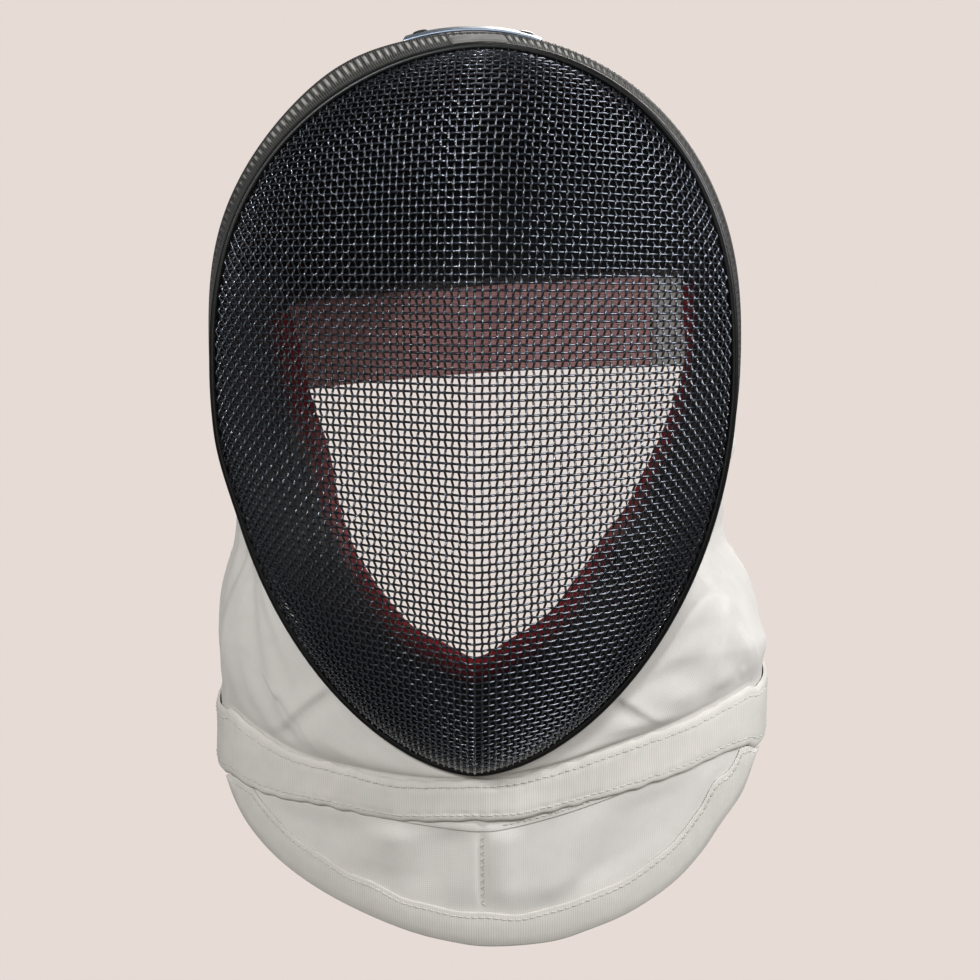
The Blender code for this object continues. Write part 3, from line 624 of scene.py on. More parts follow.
def tabulateCrown(lines=481, steps=141):
    # lines from even steps of the rim to even steps of the rear edge, read by length; where each meets
    # that edge is found by halving
    low, high = np.full(len(rimPlace), 1e-6), np.full(len(rimPlace), math.pi / 2 - 1e-6)
    for _ in range(50):
        middle = (low + high) / 2
        x, back, z = crownShape(rimPlace, middle).T
        inside = z > rearLevel(back, x)
        low, high = np.where(inside, middle, low), np.where(inside, high, middle)
    run = lengthsAlong(crownShape(rimPlace, low))
    here = np.linspace(0, 1, lines)[:, None]
    there = np.interp(here * run[-1], run, rimPlace)
    reach = np.interp(there, rimPlace, low)
    start = math.asin((crown["firstDepth"] / crown["depth"]) ** (crown["power"] / 2))
    part = np.linspace(0, 1, 400)[None, :] ** 1.6
    fine = crownShape(here + (there - here) * part**1.5, start + (reach - start) * part)
    length = lengthsAlong(fine, 1)
    points = np.empty((lines, steps, 3))
    for line in range(lines):
        points[line] = readAlong(fine[line], length[line], np.linspace(0, length[line, -1], steps))
    return {"lines": lines, "steps": steps, "length": length[:, -1], "points": points,
            "normals": normalsOf(points, insideCrown)}


crownTable = tabulateCrown()


def crownLength(around):
    # the length of the crown's wall from the rim to the rear edge, at a share of the way round
    return np.interp(around, np.linspace(0, 1, crownTable["lines"]), crownTable["length"])


def crownAt(around, distance, offset=0.0):
    # points and normals of the crown's wall at a share of the way round and a distance from the rim,
    # carried straight on past both edges
    around, distance = np.broadcast_arrays(np.asarray(around, float), np.asarray(distance, float))
    wall, last = crownTable["points"], crownTable["steps"] - 1
    linePlace = around * (crownTable["lines"] - 1)
    length = crownLength(around)
    stepPlace = distance / length * last
    points = atPlace(wall, linePlace, stepPlace)
    normals = unit(atPlace(crownTable["normals"], linePlace, stepPlace))
    first = 0 * around
    ending = unit(atPlace(wall, linePlace, first + last) - atPlace(wall, linePlace, first + last - 3))
    before = unit(atPlace(wall, linePlace, first) - atPlace(wall, linePlace, first + 2))
    beyond = np.maximum(distance - length, 0)[..., None]
    ahead = np.maximum(-distance, 0)[..., None]
    return points + beyond * ending + ahead * before + normals * np.asarray(offset)[..., None], normals


print("surfaces")

weave = {
    "pitch": 0.0030, "wire": 0.00102, "faceSides": 5, "crownSides": 4, "faceSteps": 2, "crownSteps": 2,
    "uprightCrimp": 0.00080, "crossCrimp": 0.00022, "crownCrimp": 0.00051, "faceShort": 0.0005,
    "crownShort": 0.0006, "countedAt": 0.03,
}


def withEnds(first, last, step):
    # even steps between two ends, and the ends themselves
    inner = np.arange(math.ceil(first / step + 0.2), math.floor(last / step - 0.2) + 1) * step
    return np.concatenate([[first], inner, [last]])


def crownWireCount():
    # an even number of wires round the crown, from the length round it a little behind the rim
    outline = lengthsAlong(crownAt(np.linspace(0, 1, 801), weave["countedAt"])[0])[-1]
    return int(round(outline / weave["pitch"] / 2) * 2)


def faceWeave():
    # plain weave: off the surface by the crimp times cosines along and across it, rows the other way
    pitch, step = weave["pitch"], weave["pitch"] / weave["faceSteps"]
    radius, sides = weave["wire"] / 2, weave["faceSides"]
    rowPlaces = np.linspace(0, faceTable["length"], faceTable["rows"])
    reaches = faceTable["reach"].T
    for side, name, reach in zip((-1, 1), ("right", "left"), reaches):
        rising = np.maximum.accumulate(reach)
        falling = np.maximum.accumulate(reach[::-1])[::-1]
        paths, ups = [], []
        for column in range(0 if side > 0 else 1, int((reach.max() - weave["faceShort"]) / pitch) + 1):
            run = column * pitch
            first = rowPlaces[np.argmax(rising >= run)]
            last = rowPlaces[len(falling) - 1 - np.argmax(falling[::-1] >= run)]
            if last - first < pitch:
                continue
            places = withEnds(first, last, step)
            points, normals = faceAt(places, 0 * places + side * run)
            lift = weave["uprightCrimp"] * np.cos(math.pi * places / pitch) * (-1) ** column
            paths.append(points + normals * lift[:, None])
            ups.append(normals)
        node = ("face_mesh",) if side > 0 else ()
        addWires("face_uprights_" + name, paths, ups, radius, sides, wireFinish, node)
    count = int((faceTable["length"] - weave["faceShort"]) / pitch)
    for name, numbers in (("upper", range(1, count // 2)), ("lower", range(count // 2, count + 1))):
        paths, ups = [], []
        for row in numbers:
            run = row * pitch
            left, right = (np.interp(run, rowPlaces, reach) for reach in reaches)
            if left + right < pitch:
                continue
            places = withEnds(-left, right, step)
            points, normals = faceAt(0 * places + run, places)
            lift = -weave["crossCrimp"] * np.cos(math.pi * places / pitch) * (-1) ** row
            paths.append(points + normals * lift[:, None])
            ups.append(normals)
        addWires("face_crosswires_" + name, paths, ups, radius, sides, wireFinish)
    print("face weave", count, "rows")


def crownWeave():
    # plain weave on the crown: lines back from the rim and rows at even distances from it, each off the
    # wall by the crimp times a cosine along it
    pitch, crimp = weave["pitch"], weave["crownCrimp"]
    radius, sides = weave["wire"] / 2, weave["crownSides"]
    count = crownWireCount()
    lines, lineUps, rows, rowUps = [], [], [], []
    for line in range(1, count):
        around = line / count
        end = float(crownLength(around)) - weave["crownShort"]
        places = withEnds(0.0, end, pitch / weave["crownSteps"])
        lift = crimp * np.cos(math.pi * places / pitch) * (-1) ** line
        points, normals = crownAt(0 * places + around, places, lift)
        lines.append(points)
        lineUps.append(normals)
    half = np.linspace(0, 1, weave["crownSteps"] * count + 1)
    for row in range(1, int(crownTable["length"].max() / pitch) + 1):
        run = row * pitch
        kept = np.nonzero(crownLength(half) > run + weave["crownShort"])[0]
        if len(kept) < 4:
            continue
        places = half[kept[0]:kept[-1] + 1]
        lift = -crimp * np.cos(math.pi * places * count) * (-1) ** row
        points, normals = crownAt(places, 0 * places + run, lift)
        rows.append(points)
        rowUps.append(normals)
    addWires("crown_lines", lines, lineUps, radius, sides, wireFinish, ("crown_mesh",))
    addWires("crown_rows", rows, rowUps, radius, sides, wireFinish)
    print("crown weave", len(lines), "lines", len(rows), "rows")


bead = {"radius": 0.00160, "lip": 0.25, "forward": 0.0008, "outward": 0.0014}


def makeBead():
    # a circle carried round the rim, its radius swollen by the sixth power of the sine on the rear side
    x, z = rimOutline(-rim["bottom"], -rim["bottom"], 481)
    path = np.stack([onRim(x, z), 0 * x - bead["forward"], z], axis=-1)[:-1]
    along = unit(np.roll(path, -1, axis=0) - np.roll(path, 1, axis=0))
    outward = unit(np.cross(along, (0, 1, 0)))
    outward = outward * np.sign(np.sum(outward * path, axis=-1).mean())
    path = path + outward * bead["outward"]
    turn = np.linspace(0, 2 * math.pi, 17)[:-1]
    radius = bead["radius"] * (1 + bead["lip"] * np.clip(np.sin(turn), 0, 1) ** 6)
    outOff, backOff = (radius * np.cos(turn))[None, :, None], (radius * np.sin(turn))[None, :, None]
    rings = path[:, None] + outward[:, None] * outOff + np.array((0, 1, 0)) * backOff
    addCarried("rim_bead", rings, beadFinish, closed=True, replaces=("rim_piping",))


tape = {  # zones and parts are shares of the width: each zone's rise and its fall, by start and length
    "width": 0.020, "thickness": 0.0010, "edgeThickness": 0.25, "sideThickness": 0.6, "rearGap": 0.011,
    "low": 0.0013, "lowSides": 0.65, "midway": 0.01, "highFrom": (0.01, 0.06), "highRight": 0.05,
    "tooth": 0.0007, "teethFade": (0.03, 0.04), "teethLeast": 0.25,
    "slack": 0.0024, "slackPlace": (-0.050, 0.024), "slackLevel": 0.05, "slackPart": (0.2, 0.35),
    "forward": (0.14, 0.16, 0.03), "teethZone": ((0.42, 0.15), (0.76, 0.08)),
    "rearEdgeShadeZone": ((0.80, 0.05), (0.90, 0.05)), "ridgeZone": ((0.78, 0.06), (0.92, 0.2)), "ridge": 0.0002,
}
tapeShade = {  # share, start and length of painted shade low down, at the right, ahead of the teeth and in front
    "low": (0.85, 0.055, 0.05), "right": (0.7, 0.03, 0.05), "ahead": (0.5, 0.40, 0.10),
    "front": (0.9, 0.04, 0.08), "most": 0.85, "valley": 0.7,
}


def makeTape():
    # the tape lies over the wires: its rear part is lifted by a cosine with a tooth for each wire, and by
    # a slack bell at the upper left; its edges thin out by the root of 1 - share^10
    around = np.linspace(0, 1, 961)[:, None]
    part = np.linspace(0, 1, 16)[None, :]
    distance = part * np.minimum(tape["width"], crownLength(around) - tape["rearGap"])
    tooth = np.cos(2 * math.pi * around * crownWireCount())
    base = crownAt(around, tape["midway"] + 0 * around)[0]
    x, level = base[..., 0], base[..., 2]
    start, length = tape["highFrom"]
    high = np.maximum(smooth((level - start) / length), smooth(x / tape["highRight"]))
    slack = tape["slack"] * hump(x, *tape["slackPlace"]) * smooth(level / tape["slackLevel"])
    least, (start, length) = tape["teethLeast"], tape["teethFade"]
    marked = high * (least + (1 - least) * (1 - smooth((x - start) / length)))
    forward, more, across = tape["forward"]
    zone = part + (forward + more * smooth(x / across))  # the teeth lie where the tape shows from the front
    rearPull = stretch(zone, *tape["teethZone"]) * marked
    # painted shade along the tape's rear edge, where the colour turns black
    rearEdgeShade = stretch(zone, *tape["rearEdgeShadeZone"])
    low = tape["low"] * (tape["lowSides"] + (1 - tape["lowSides"]) * high)
    start, length = tape["slackPart"]
    lift = low + tape["tooth"] * (0.5 + 0.5 * tooth) * rearPull + slack * smooth((part - start) / length)
    lift = lift + (tape["tooth"] * marked + tape["ridge"]) * stretch(zone, *tape["ridgeZone"])
    edge = np.sqrt(np.clip(1 - (2 * part - 1) ** 10, 0, 1))
    thin, side = tape["edgeThickness"], tape["sideThickness"]
    thick = tape["thickness"] * (thin + (1 - thin) * edge) * (side + (1 - side) * high)
    outer = crownAt(around + 0 * part, distance, lift + thick)[0]
    inner = crownAt(around + 0 * part, distance, lift + 0 * thick)[0]
    # painted shade: darker low down, at the right, ahead of the teeth and at the front edge, away from the
    # light
    shaded = 0
    for value, key, turned in ((level, "low", 1), (x, "right", 0), (zone, "ahead", 1), (part, "front", 1)):
        share, start, length = tapeShade[key]
        rise = smooth((value - start) / length)
        shaded = shaded + share * (1 - rise if turned else rise)
    # the tint: paler over the wires, partly rubbed and partly a painted highlight, with painted shade in the
    # gaps between them, at the rear edge and in the shaded zones
    crest = np.where(tooth > 0, 1.0, tapeShade["valley"]) * tooth * rearPull
    crest = crest - np.maximum(rearEdgeShade, np.clip(shaded, 0, tapeShade["most"]))
    addShell("rim_band", outer, inner, tapeFinish, ("rim_tape",), crest)


tongue = {
    "halfTurn": 0.022, "shift": -0.003, "from": 0.0006, "length": 0.0112, "low": 0.0026, "thickness": 0.0007,
    "edge": 0.2, "dome": 0.9,
}


def makeTongue():
    # a plain short strip over the ends of the tape, domed by the roots of 1 - share^16 and 1 - share^8
    side = np.linspace(-1, 1, 49)[:, None]
    around = 0.5 + tongue["shift"] + side * tongue["halfTurn"]
    part = np.linspace(0, 1, 13)[None, :]
    distance = tongue["from"] + tongue["length"] * part + 0 * around
    edge = np.sqrt(np.clip(1 - side**16, 0, 1) * np.clip(1 - (2 * part - 1) ** 8, 0, 1))
    thick = tongue["thickness"] * (tongue["edge"] + tongue["dome"] * edge)
    outer = crownAt(around + 0 * part, distance, tongue["low"] + thick)[0]
    inner = crownAt(around + 0 * part, distance, tongue["low"] + 0 * edge)[0]
    addShell("band_tongue", outer, inner, tongueFinish, ("tape_joint",))


plate = {
    "halfLength": 0.028, "shift": -0.0028, "front": 0.024, "rear": 0.046, "low": 0.0016, "thickness": 0.0012,
    "bevel": 0.0004, "rise": 0.0004, "dips": (0.0003, 0.0014),
}
rivets = {"halfSpacing": 0.0216, "radius": 0.0034, "height": 0.0009, "sunk": 0.0001}


def crownAcross(x, distance, offset):
    # the crown's wall at a distance from the rim where it has a given x, near the top
    around = np.linspace(0.4, 0.6, 401)[:, None]
    points, normals = crownAt(around + 0 * distance, distance + 0 * around, offset)
    rows = [(points[:, k], points[:, k, 0], normals[:, k]) for k in range(len(distance))]
    places = np.stack([readAlong(path, run, x) for path, run, lean in rows], axis=1)
    return places, unit(np.stack([readAlong(lean, run, x) for path, run, lean in rows], axis=1))


def plateBend(x):
    # the strip is bent more than the crown: up in the middle, dipping by the square of x to both ends
    left, right = plate["dips"]
    return plate["rise"] - np.where(x > 0, right, left) * (x / plate["halfLength"]) ** 2


def crowded(count):
    # places from -1 to 1, closer together toward both ends: 1 - (1 - share)^1.5
    even = np.linspace(-1, 1, count)
    return np.sign(even) * (1 - (1 - np.abs(even)) ** 1.5)


def makePlate():
    # a bent strip whose top sinks toward its border by a quarter circle, and two domed rivets on it
    x, across = plate["halfLength"] * crowded(61), crowded(25)
    middle, half = (plate["front"] + plate["rear"]) / 2, (plate["rear"] - plate["front"]) / 2
    low, normal = crownAcross(x + plate["shift"], middle + half * across, plate["low"])
    low = low + normal * plateBend(x)[:, None, None]
    fromEnd = leastOf((plate["halfLength"] - np.abs(x))[:, None], (half - np.abs(half * across))[None, :])
    sink = plate["bevel"] * (1 - roundedEdge(fromEnd, plate["bevel"]))
    outer = low + normal * (plate["thickness"] - sink)[..., None]
    addShell("crown_strip", outer, low, steelFinish, ("crown_plate",))
    turn = np.linspace(0, 2 * math.pi, 33)[:-1]
    rise = np.linspace(0, 1, 9) ** 0.8 * math.pi / 2
    for side, name in ((-1, "left"), (1, "right")):
        x = side * rivets["halfSpacing"]
        place, up = crownAcross(np.array([x + plate["shift"]]), np.array([middle]), plate["low"])
        up = up[0, 0]
        place = place[0, 0] + up * (plate["thickness"] - rivets["sunk"] + plateBend(x))
        right = unit(np.cross((0, 1, 0), up))
        ahead = np.cross(up, right)
        radius = rivets["radius"] * np.cos(rise * 0.985)
        height = rivets["height"] * np.sin(rise)
        ring = np.cos(turn)[:, None] * right + np.sin(turn)[:, None] * ahead
        rings = place + radius[:, None, None] * ring[None] + height[:, None, None] * up
        rings = np.concatenate([rings[:1] * 0.6 + 0.4 * place, rings])
        node = ("plate_rivet_" + name,)
        addCarried("strip_rivet_" + name, rings, rivetFinish, replaces=node)


faceWeave()
crownWeave()
makeBead()
makeTape()
makeTongue()
makePlate()
print("rim, tape and plate")

pad = {
    "level": 0.018, "from": 0.0215, "countedAt": 0.06, "rearGap": 0.0030, "low": 0.0019, "step": 0.0012,
    "stepAt": (0.0105, 0.002), "thickness": 0.0034, "least": 0.0003, "round": 0.003,
    "cell": 0.024, "seamWidth": 0.004, "seamPuff": 0.55,
}


def puffed(seams, width, least):
    # how full a quilted piece is beside its sewn lines: least at a line, full at a width from it, by a root
    return least + (1 - least) * np.clip(seams / width, 0, 1) ** 0.5


def makePad():
    # quilted padding under the crown, hollow along two slanting sets of sewn lines, where the sine of
    # length plus or minus distance is nothing
    start = crownTable["points"][:, 0, 2] > pad["level"]
    ends = np.nonzero(start)[0][[0, -1]] / (crownTable["lines"] - 1)
    around = np.linspace(*ends, 181)
    run = lengthsAlong(crownAt(around, pad["countedAt"])[0])[:, None]
    around = around[:, None]
    part = np.linspace(0, 1, 53)[None, :]
    last = crownLength(around) - pad["rearGap"]
    distance = pad["from"] + (last - pad["from"]) * part
    ahead, length = pad["stepAt"]
    low = pad["low"] + pad["step"] * smooth((distance - last + ahead) / length)  # over the binding's leg
    border = leastOf(run, run[-1] - run, distance - pad["from"], last - distance)
    slants = [np.abs(np.sin(math.pi * (run + turned * distance) / pad["cell"])) for turned in (1, -1)]
    seams = leastOf(*slants) * pad["cell"] / math.pi
    puff = puffed(seams, pad["seamWidth"], pad["seamPuff"])
    thick = pad["thickness"] * roundedEdge(border, pad["round"]) * puff
    outer = crownAt(around + 0 * part, distance, -low)[0]
    inner = crownAt(around + 0 * part, distance, -low - np.maximum(thick, pad["least"]))[0]
    piece = addShell("crown_padding", outer, inner, paddingFinish, ("crown_pad",))


binding = {
    "leg": 0.010, "low": 0.0018, "thickness": 0.0010, "lips": (0.0006, 0.0006), "fold": 0.0004,
    "folds": (0.0016, 0.0007), "ends": (0.012, 0.988), "wave": 0.00012, "waveTurns": 900, "waveTo": -0.002,
}


def makeRearBinding():
    # a folded section carried along the crown's rear edge, with a small sine wave along its own edge
    around = np.linspace(*binding["ends"], 641)
    length = crownLength(around)
    low, high = binding["low"], binding["low"] + binding["thickness"]
    start, end = -binding["leg"], -binding["fold"]
    section = foldedSection(start, end, low, high, binding["lips"], binding["folds"], 9)
    wave = binding["wave"] * np.sin(around * binding["waveTurns"])
    rings = []
    for back, off in section:
        place = length + back + (wave if back > binding["waveTo"] else 0)
        rings.append(crownAt(around, place, 0 * around + off)[0])
    rings = np.stack(rings, axis=1)
    addCarried("rear_binding", rings, tapeFinish, replaces=("rear_trim",))


strap = {
    "behind": 0.07, "height": 0.0415, "ends": (-0.0935, 0.0735), "below": 0.0009, "thickness": 0.0032,
    "round": 0.0018, "least": 0.06, "seamAt": 0.0045, "seamWidth": 0.003, "seamPuff": 0.6,
    "bend": (0.0007, 0.05, 0.05, 5),
}
strapTab = {"ends": (0.0705, 0.0905), "behind": 0.0028, "halfThickness": 0.0005}


def strapGrid(ends, columns, rows):
    # an upright grid that hangs from the crown's rear edge, its top at that edge's own level
    edge = crownTable["points"][:, -1]
    back = edge[edge[:, 1] > strap["behind"]]
    x = np.linspace(*ends, columns)
    y, top = np.interp(x, back[:, 0], back[:, 1]), np.interp(x, back[:, 0], back[:, 2]) - strap["below"]
    down = np.linspace(0, 1, rows)[None, :] * strap["height"]
    middle = np.stack(np.broadcast_arrays(x[:, None], y[:, None] + 0 * down, top[:, None] - down), axis=-1)
    return middle, normalsOf(middle, insideCrown), down


def makeStrap():
    # a padded elastic strap under the rear binding: rounded edges, two sewn channels, a slight wave
    middle, normal, down = strapGrid(strap["ends"], 181, 37)
    run = lengthsAlong(middle[:, 0])[:, None]
    border = leastOf(run, run[-1] - run, down, strap["height"] - down)
    seams = leastOf(np.abs(down - strap["seamAt"]), np.abs(down - strap["height"] + strap["seamAt"]))
    puff = strap["seamPuff"] + (1 - strap["seamPuff"]) * smooth(seams / strap["seamWidth"])
    half = strap["thickness"] / 2 * np.maximum(roundedEdge(border, strap["round"]) * puff, strap["least"])
    middle = middle + normal * unevenness(run, down, strap["bend"])[..., None]
    piece = addCloth("nape_strap", middle, normal, half, elasticFinish, ("rear_strap",))


def makeStrapTab():
    # the flat tape that joins the strap's end to the crown, a little behind the strap
    middle, normal = strapGrid(strapTab["ends"], 41, 25)[:2]
    middle = middle + normal * strapTab["behind"]
    half = strapTab["halfThickness"] + 0 * middle[..., 0]
    piece = addCloth("strap_tab", middle, normal, half, webbingFinish)


# each row: left edge x, z, right edge x, z, depth of the edge, and x, z of the seam inside the rim
liningStations = (
    (0.0930, 0.0400, 0.0905, 0.0490, 0.098, 0.0975, 0.044),
    (0.0905, 0.0220, 0.0886, 0.0330, 0.102, 0.0975, 0.024),
    (0.0838, -0.0160, 0.0890, -0.0050, 0.106, 0.0975, -0.010),
    (0.0760, -0.0430, 0.0812, -0.0330, 0.106, 0.0945, -0.036),
    (0.0684, -0.0650, 0.0690, -0.0570, 0.092, 0.0895, -0.058),
    (0.0590, -0.0790, 0.0560, -0.0730, 0.062, 0.0822, -0.080),
    (0.0440, -0.0880, 0.0435, -0.0835, 0.018, 0.0722, -0.101),
    (0.0265, -0.0985, 0.0300, -0.0955, -0.018, 0.0602, -0.1242),
    (0.0105, -0.1035, 0.0155, -0.1018, -0.038, 0.0310, -0.1465),
    (-0.0028, -0.1070, 0.0028, -0.1070, -0.046, 0.0000, -0.157),
)
lining = {
    "thickness": 0.0048, "least": 0.05, "round": 0.0024, "seamBack": 0.0012, "inset": 0.0024,
    "channel": 0.016, "channelFrom": 0.006, "channelWidth": 0.004, "channelPuff": 0.55,
    "slack": (0.0010, 0.06, 0.06, 9), "slackFrom": 0.02,
    # where the painted shade that blackens the lining toward the rim starts and how fast it grows, then the
    # level above which it is full
    "shadeFrom": 0.01, "shadeWithin": (0.20, 0.30), "blackAbove": (0.0235, 0.003),
}


def makeLining():
    # a padded funnel from the seam inside the rim straight to a soft free edge, with sewn lines at even
    # distances from that edge; the tint, painted shade that turns the red black, grows from the edge to the
    # seam
    seam = lining["seamBack"]
    left = [(-lx, y, lz, -sx, seam, sz) for lx, lz, rx, rz, y, sx, sz in liningStations]
    right = [(rx, y, rz, sx, seam, sz) for lx, lz, rx, rz, y, sx, sz in liningStations]
    path = smoothPath(left[:-1] + right[::-1], 221)
    rimX, rimZ = rimOutline(-rim["bottom"], -rim["bottom"], 721)
    half = len(rimX) // 2
    rimPoints = np.stack([onRim(rimX, rimZ), rimZ], axis=-1)
    rimPoints = np.concatenate([rimPoints[half::-1], rimPoints[-2:half - 1:-1]])  # down by -X, then up by +X
    nearest = np.argmin(np.linalg.norm(path[:, None, [3, 5]] - rimPoints[None], axis=-1), axis=1)
    seamLine = readAlong(rimPoints, np.arange(len(rimPoints)), runningMean(nearest.astype(float), 10))
    inward = lining["inset"] / np.linalg.norm(seamLine, axis=-1, keepdims=True)
    path[:, 3], path[:, 5] = (seamLine * (1 - inward)).T
    part = np.linspace(0, 1, 45)[None, :, None]
    grid = path[:, None, :3] * (1 - part) + path[:, None, 3:] * part
    normal = normalsOf(grid, (0, 0.05, 0.02))
    run = lengthsAlong(grid[:, 0])[:, None]
    down = lengthsAlong(grid, 1)
    fromSeam = down[:, -1:] - down
    border = leastOf(run, run[-1] - run, down, fromSeam)
    channel = lining["channel"]
    seams = np.abs(np.sin(math.pi * (down - lining["channelFrom"]) / channel)) * channel / math.pi
    puff = puffed(seams, lining["channelWidth"], lining["channelPuff"])
    half = lining["thickness"] / 2 * np.maximum(roundedEdge(border, lining["round"]) * puff, lining["least"])
    slack = unevenness(run, down, lining["slack"]) * smooth(fromSeam / lining["slackFrom"])
    grid = grid + normal * slack[..., None]
    # the tint is painted shade: it grows from the free edge toward the seam, faster at the sides, and is
    # full above a sloping level
    turn = np.abs(np.linspace(-1, 1, len(path)))[:, None]
    least, more = lining["shadeWithin"]
    tint = (part[..., 0] - lining["shadeFrom"]) / (least + more * turn**2)
    level, height = lining["blackAbove"]
    tint = np.maximum(tint, (grid[..., 2] - level - crown["rearSlope"] * grid[..., 0]) / height)
    piece = addCloth("chin_lining", grid, normal, half, liningFinish, ("face_lining",), tint)


makePad()
makeRearBinding()
makeStrap()
makeStrapTab()
makeLining()
print("padding and lining")

bib = {
    "halfWidth": 0.1170, "offset": 0.0032, "front": 0.0035, "side": 0.055, "rear": 0.112, "rearTaper": 0.020,
    "frontShare": 0.66, "rearShare": 0.34, "thickness": 0.0030, "round": 0.0016, "gap": 0.0003,
    "bandLevel": -0.180, "bandRise": 0.0195, "lean": 0.13,
}
bandEdges = (  # places along the band, and how far it reaches above and below its line there
    (-1.00, 0.0205, -0.0080), (-0.60, 0.0220, -0.0065), (-0.50, 0.0254, -0.0040), (-0.40, 0.0218, -0.0046),
    (-0.30, 0.0163, -0.0041), (-0.20, 0.0134, -0.0055), (-0.10, 0.0106, -0.0072), (0.00, 0.0096, -0.0085),
    (0.10, 0.0124, -0.0064), (0.20, 0.0172, -0.0038), (0.30, 0.0201, -0.0016), (0.40, 0.0226, -0.0002),
    (0.50, 0.0228, -0.0030), (0.60, 0.0195, -0.0080), (1.00, 0.0180, -0.0095),
)
hemEdge = (  # places along the hem, and its levels
    (-0.660, -0.1500), (-0.600, -0.1620), (-0.540, -0.1796), (-0.480, -0.1919), (-0.412, -0.2030),
    (-0.333, -0.2137), (-0.238, -0.2245), (-0.123, -0.2354), (-0.051, -0.2399), (0.010, -0.2416),
    (0.099, -0.2395), (0.159, -0.2347), (0.227, -0.2279), (0.309, -0.2164), (0.370, -0.2047),
    (0.422, -0.1930), (0.489, -0.1817), (0.540, -0.1700), (0.600, -0.1600), (0.660, -0.1500),
)
facingEdge = (  # places across the flap, and how far its facing's edge shows below the band
    (-0.056, -0.0010), (-0.040, 0.0004), (-0.018, 0.0022), (0.002, 0.0042), (0.014, 0.0040), (0.027, 0.0034),
    (0.050, 0.0015), (0.066, 0.0000), (0.075, -0.0010),
)
panelLines = (  # seams and folds of the panel: depth, width, step, then x and z seen from the front
    (0.0006, 0.0016, -0.0009, ((-0.060, -0.133), (-0.0652, -0.1380), (-0.0876, -0.1598), (-0.094, -0.168))),
    (0.0004, 0.0024, 0.0008, ((-0.083, -0.140), (-0.080, -0.1445), (-0.0749, -0.1526), (-0.0652, -0.1675))),
    (0.0006, 0.0016, 0.0010, ((0.0530, -0.1330), (0.0582, -0.1363), (0.0750, -0.1489), (0.087, -0.158))),
    (0.0006, 0.0022, 0.0012, ((0.1009, -0.0931), (0.0996, -0.1110), (0.0961, -0.1324), (0.0901, -0.1554))),
    (0.0004, 0.0030, 0.0006, ((0.1056, -0.0861), (0.1086, -0.104), (0.1100, -0.125))),
)


def frontTurn(arc, most=1.0):
    # the angle round the bib's front for a place from -1 to 1: a right angle at the end of the front
    return np.clip(np.abs(arc) / bib["frontShare"], 0, most) * math.pi / 2


def bibRing(arc):
    # half an ellipse in front, and sides that close in toward the rear by the square of the share
    front = frontTurn(arc)
    rear = np.clip((np.abs(arc) - bib["frontShare"]) / bib["rearShare"], 0, 1)
    x = np.sign(arc) * (bib["halfWidth"] * np.sin(front) - bib["rearTaper"] * rear**2)
    y = bib["side"] - (bib["side"] - bib["front"]) * np.cos(front) + (bib["rear"] - bib["side"]) * rear
    return np.stack([x + bib["offset"], y, 0 * x], axis=-1)


def bandLine(arc):
    # the band's middle and half its width: level plus a rise by 1 less the cosine round it, plus a slope
    # toward +X, plus the mean of its two measured edges
    ring = bibRing(arc)
    edges = smoothPath(bandEdges, 500)
    above, below = (np.interp(arc, edges[:, 0], edges[:, k]) for k in (1, 2))
    rise = bib["bandRise"] * (1 - np.cos(frontTurn(arc, 1.5)))
    ring[:, 2] = bib["bandLevel"] + rise + crown["rearSlope"] * ring[:, 0]
    ring[:, 2] += (above + below) / 2
    return ring, (above - below) / 2


def bibOutward(band):
    # level unit vectors away from the middle of the neck opening
    return unit((band - (0, bib["side"], 0)) * (1, 1, 0))


topEdge = {
    "chinDepth": 0.0038, "chinPower": 1.6, "chinEnd": 0.0032, "underCrown": 0.0039, "rearGap": 0.008,
    "skipped": 4,
}


def bibTopEdge(arc):
    # behind the rim under the chin, then back along the crown's bound edge, read by its own length
    turn = np.linspace(0, 1, 40)
    chinRise = rim["bottom"] + crown["jawLevel"] - topEdge["chinEnd"]
    chinLevel = -rim["bottom"] + chinRise * turn ** topEdge["chinPower"]
    chin = np.stack([rimHalfWidth(chinLevel), 0 * turn + topEdge["chinDepth"], chinLevel], axis=-1)
    sides = []
    for first, last in ((0, 0.25), (1, 0.75)):
        around = np.linspace(first, last, 200)
        edge = crownAt(around, crownLength(around) + topEdge["underCrown"])[0]
        edge = edge[edge[:, 1] < bib["rear"] - topEdge["rearGap"]][topEdge["skipped"]:]
        edge[:, 0] = np.abs(edge[:, 0])
        corner = [(edge[0, 0], crownTable["points"][0, -1, 1], chinLevel[-1])]
        sides.append(np.concatenate([chin, corner, edge]))
    left, right = sides
    leftRun, rightRun = lengthsAlong(left), lengthsAlong(right)
    points = np.concatenate([left[:0:-1] * (-1, 1, 1), right])
    place = np.concatenate([-leftRun[:0:-1] / leftRun[-1], rightRun / rightRun[-1]])
    return readAlong(points, place, arc)


def nearLine(x, z, line):
    # distance from points to a broken line in the x-z plane, and 1 on its left or -1 on its right
    best, side = np.full(x.shape, np.inf), np.zeros(x.shape)
    for (ax, az), (bx, bz) in zip(line[:-1], line[1:]):
        dx, dz = bx - ax, bz - az
        t = np.clip(((x - ax) * dx + (z - az) * dz) / (dx * dx + dz * dz), 0, 1)
        away = np.hypot(x - ax - t * dx, z - az - t * dz)
        sign = np.sign(dx * (z - az) - dz * (x - ax))
        closer = away < best
        best, side = np.where(closer, away, best), np.where(closer, sign, side)
    return best, side


panel = {
    "crowding": 0.4, "overlap": 0.001, "footLift": 0.0004, "footRows": 8, "bulge": 0.004, "bulgePower": 2.2,
    "bulgeFrom": 0.25, "freeFrom": 0.012, "leastEdge": 0.01,
    "folds": ((0.0016, 0.07, 0.09, 21), (0.0006, 0.03, 0.05, 22)),
}


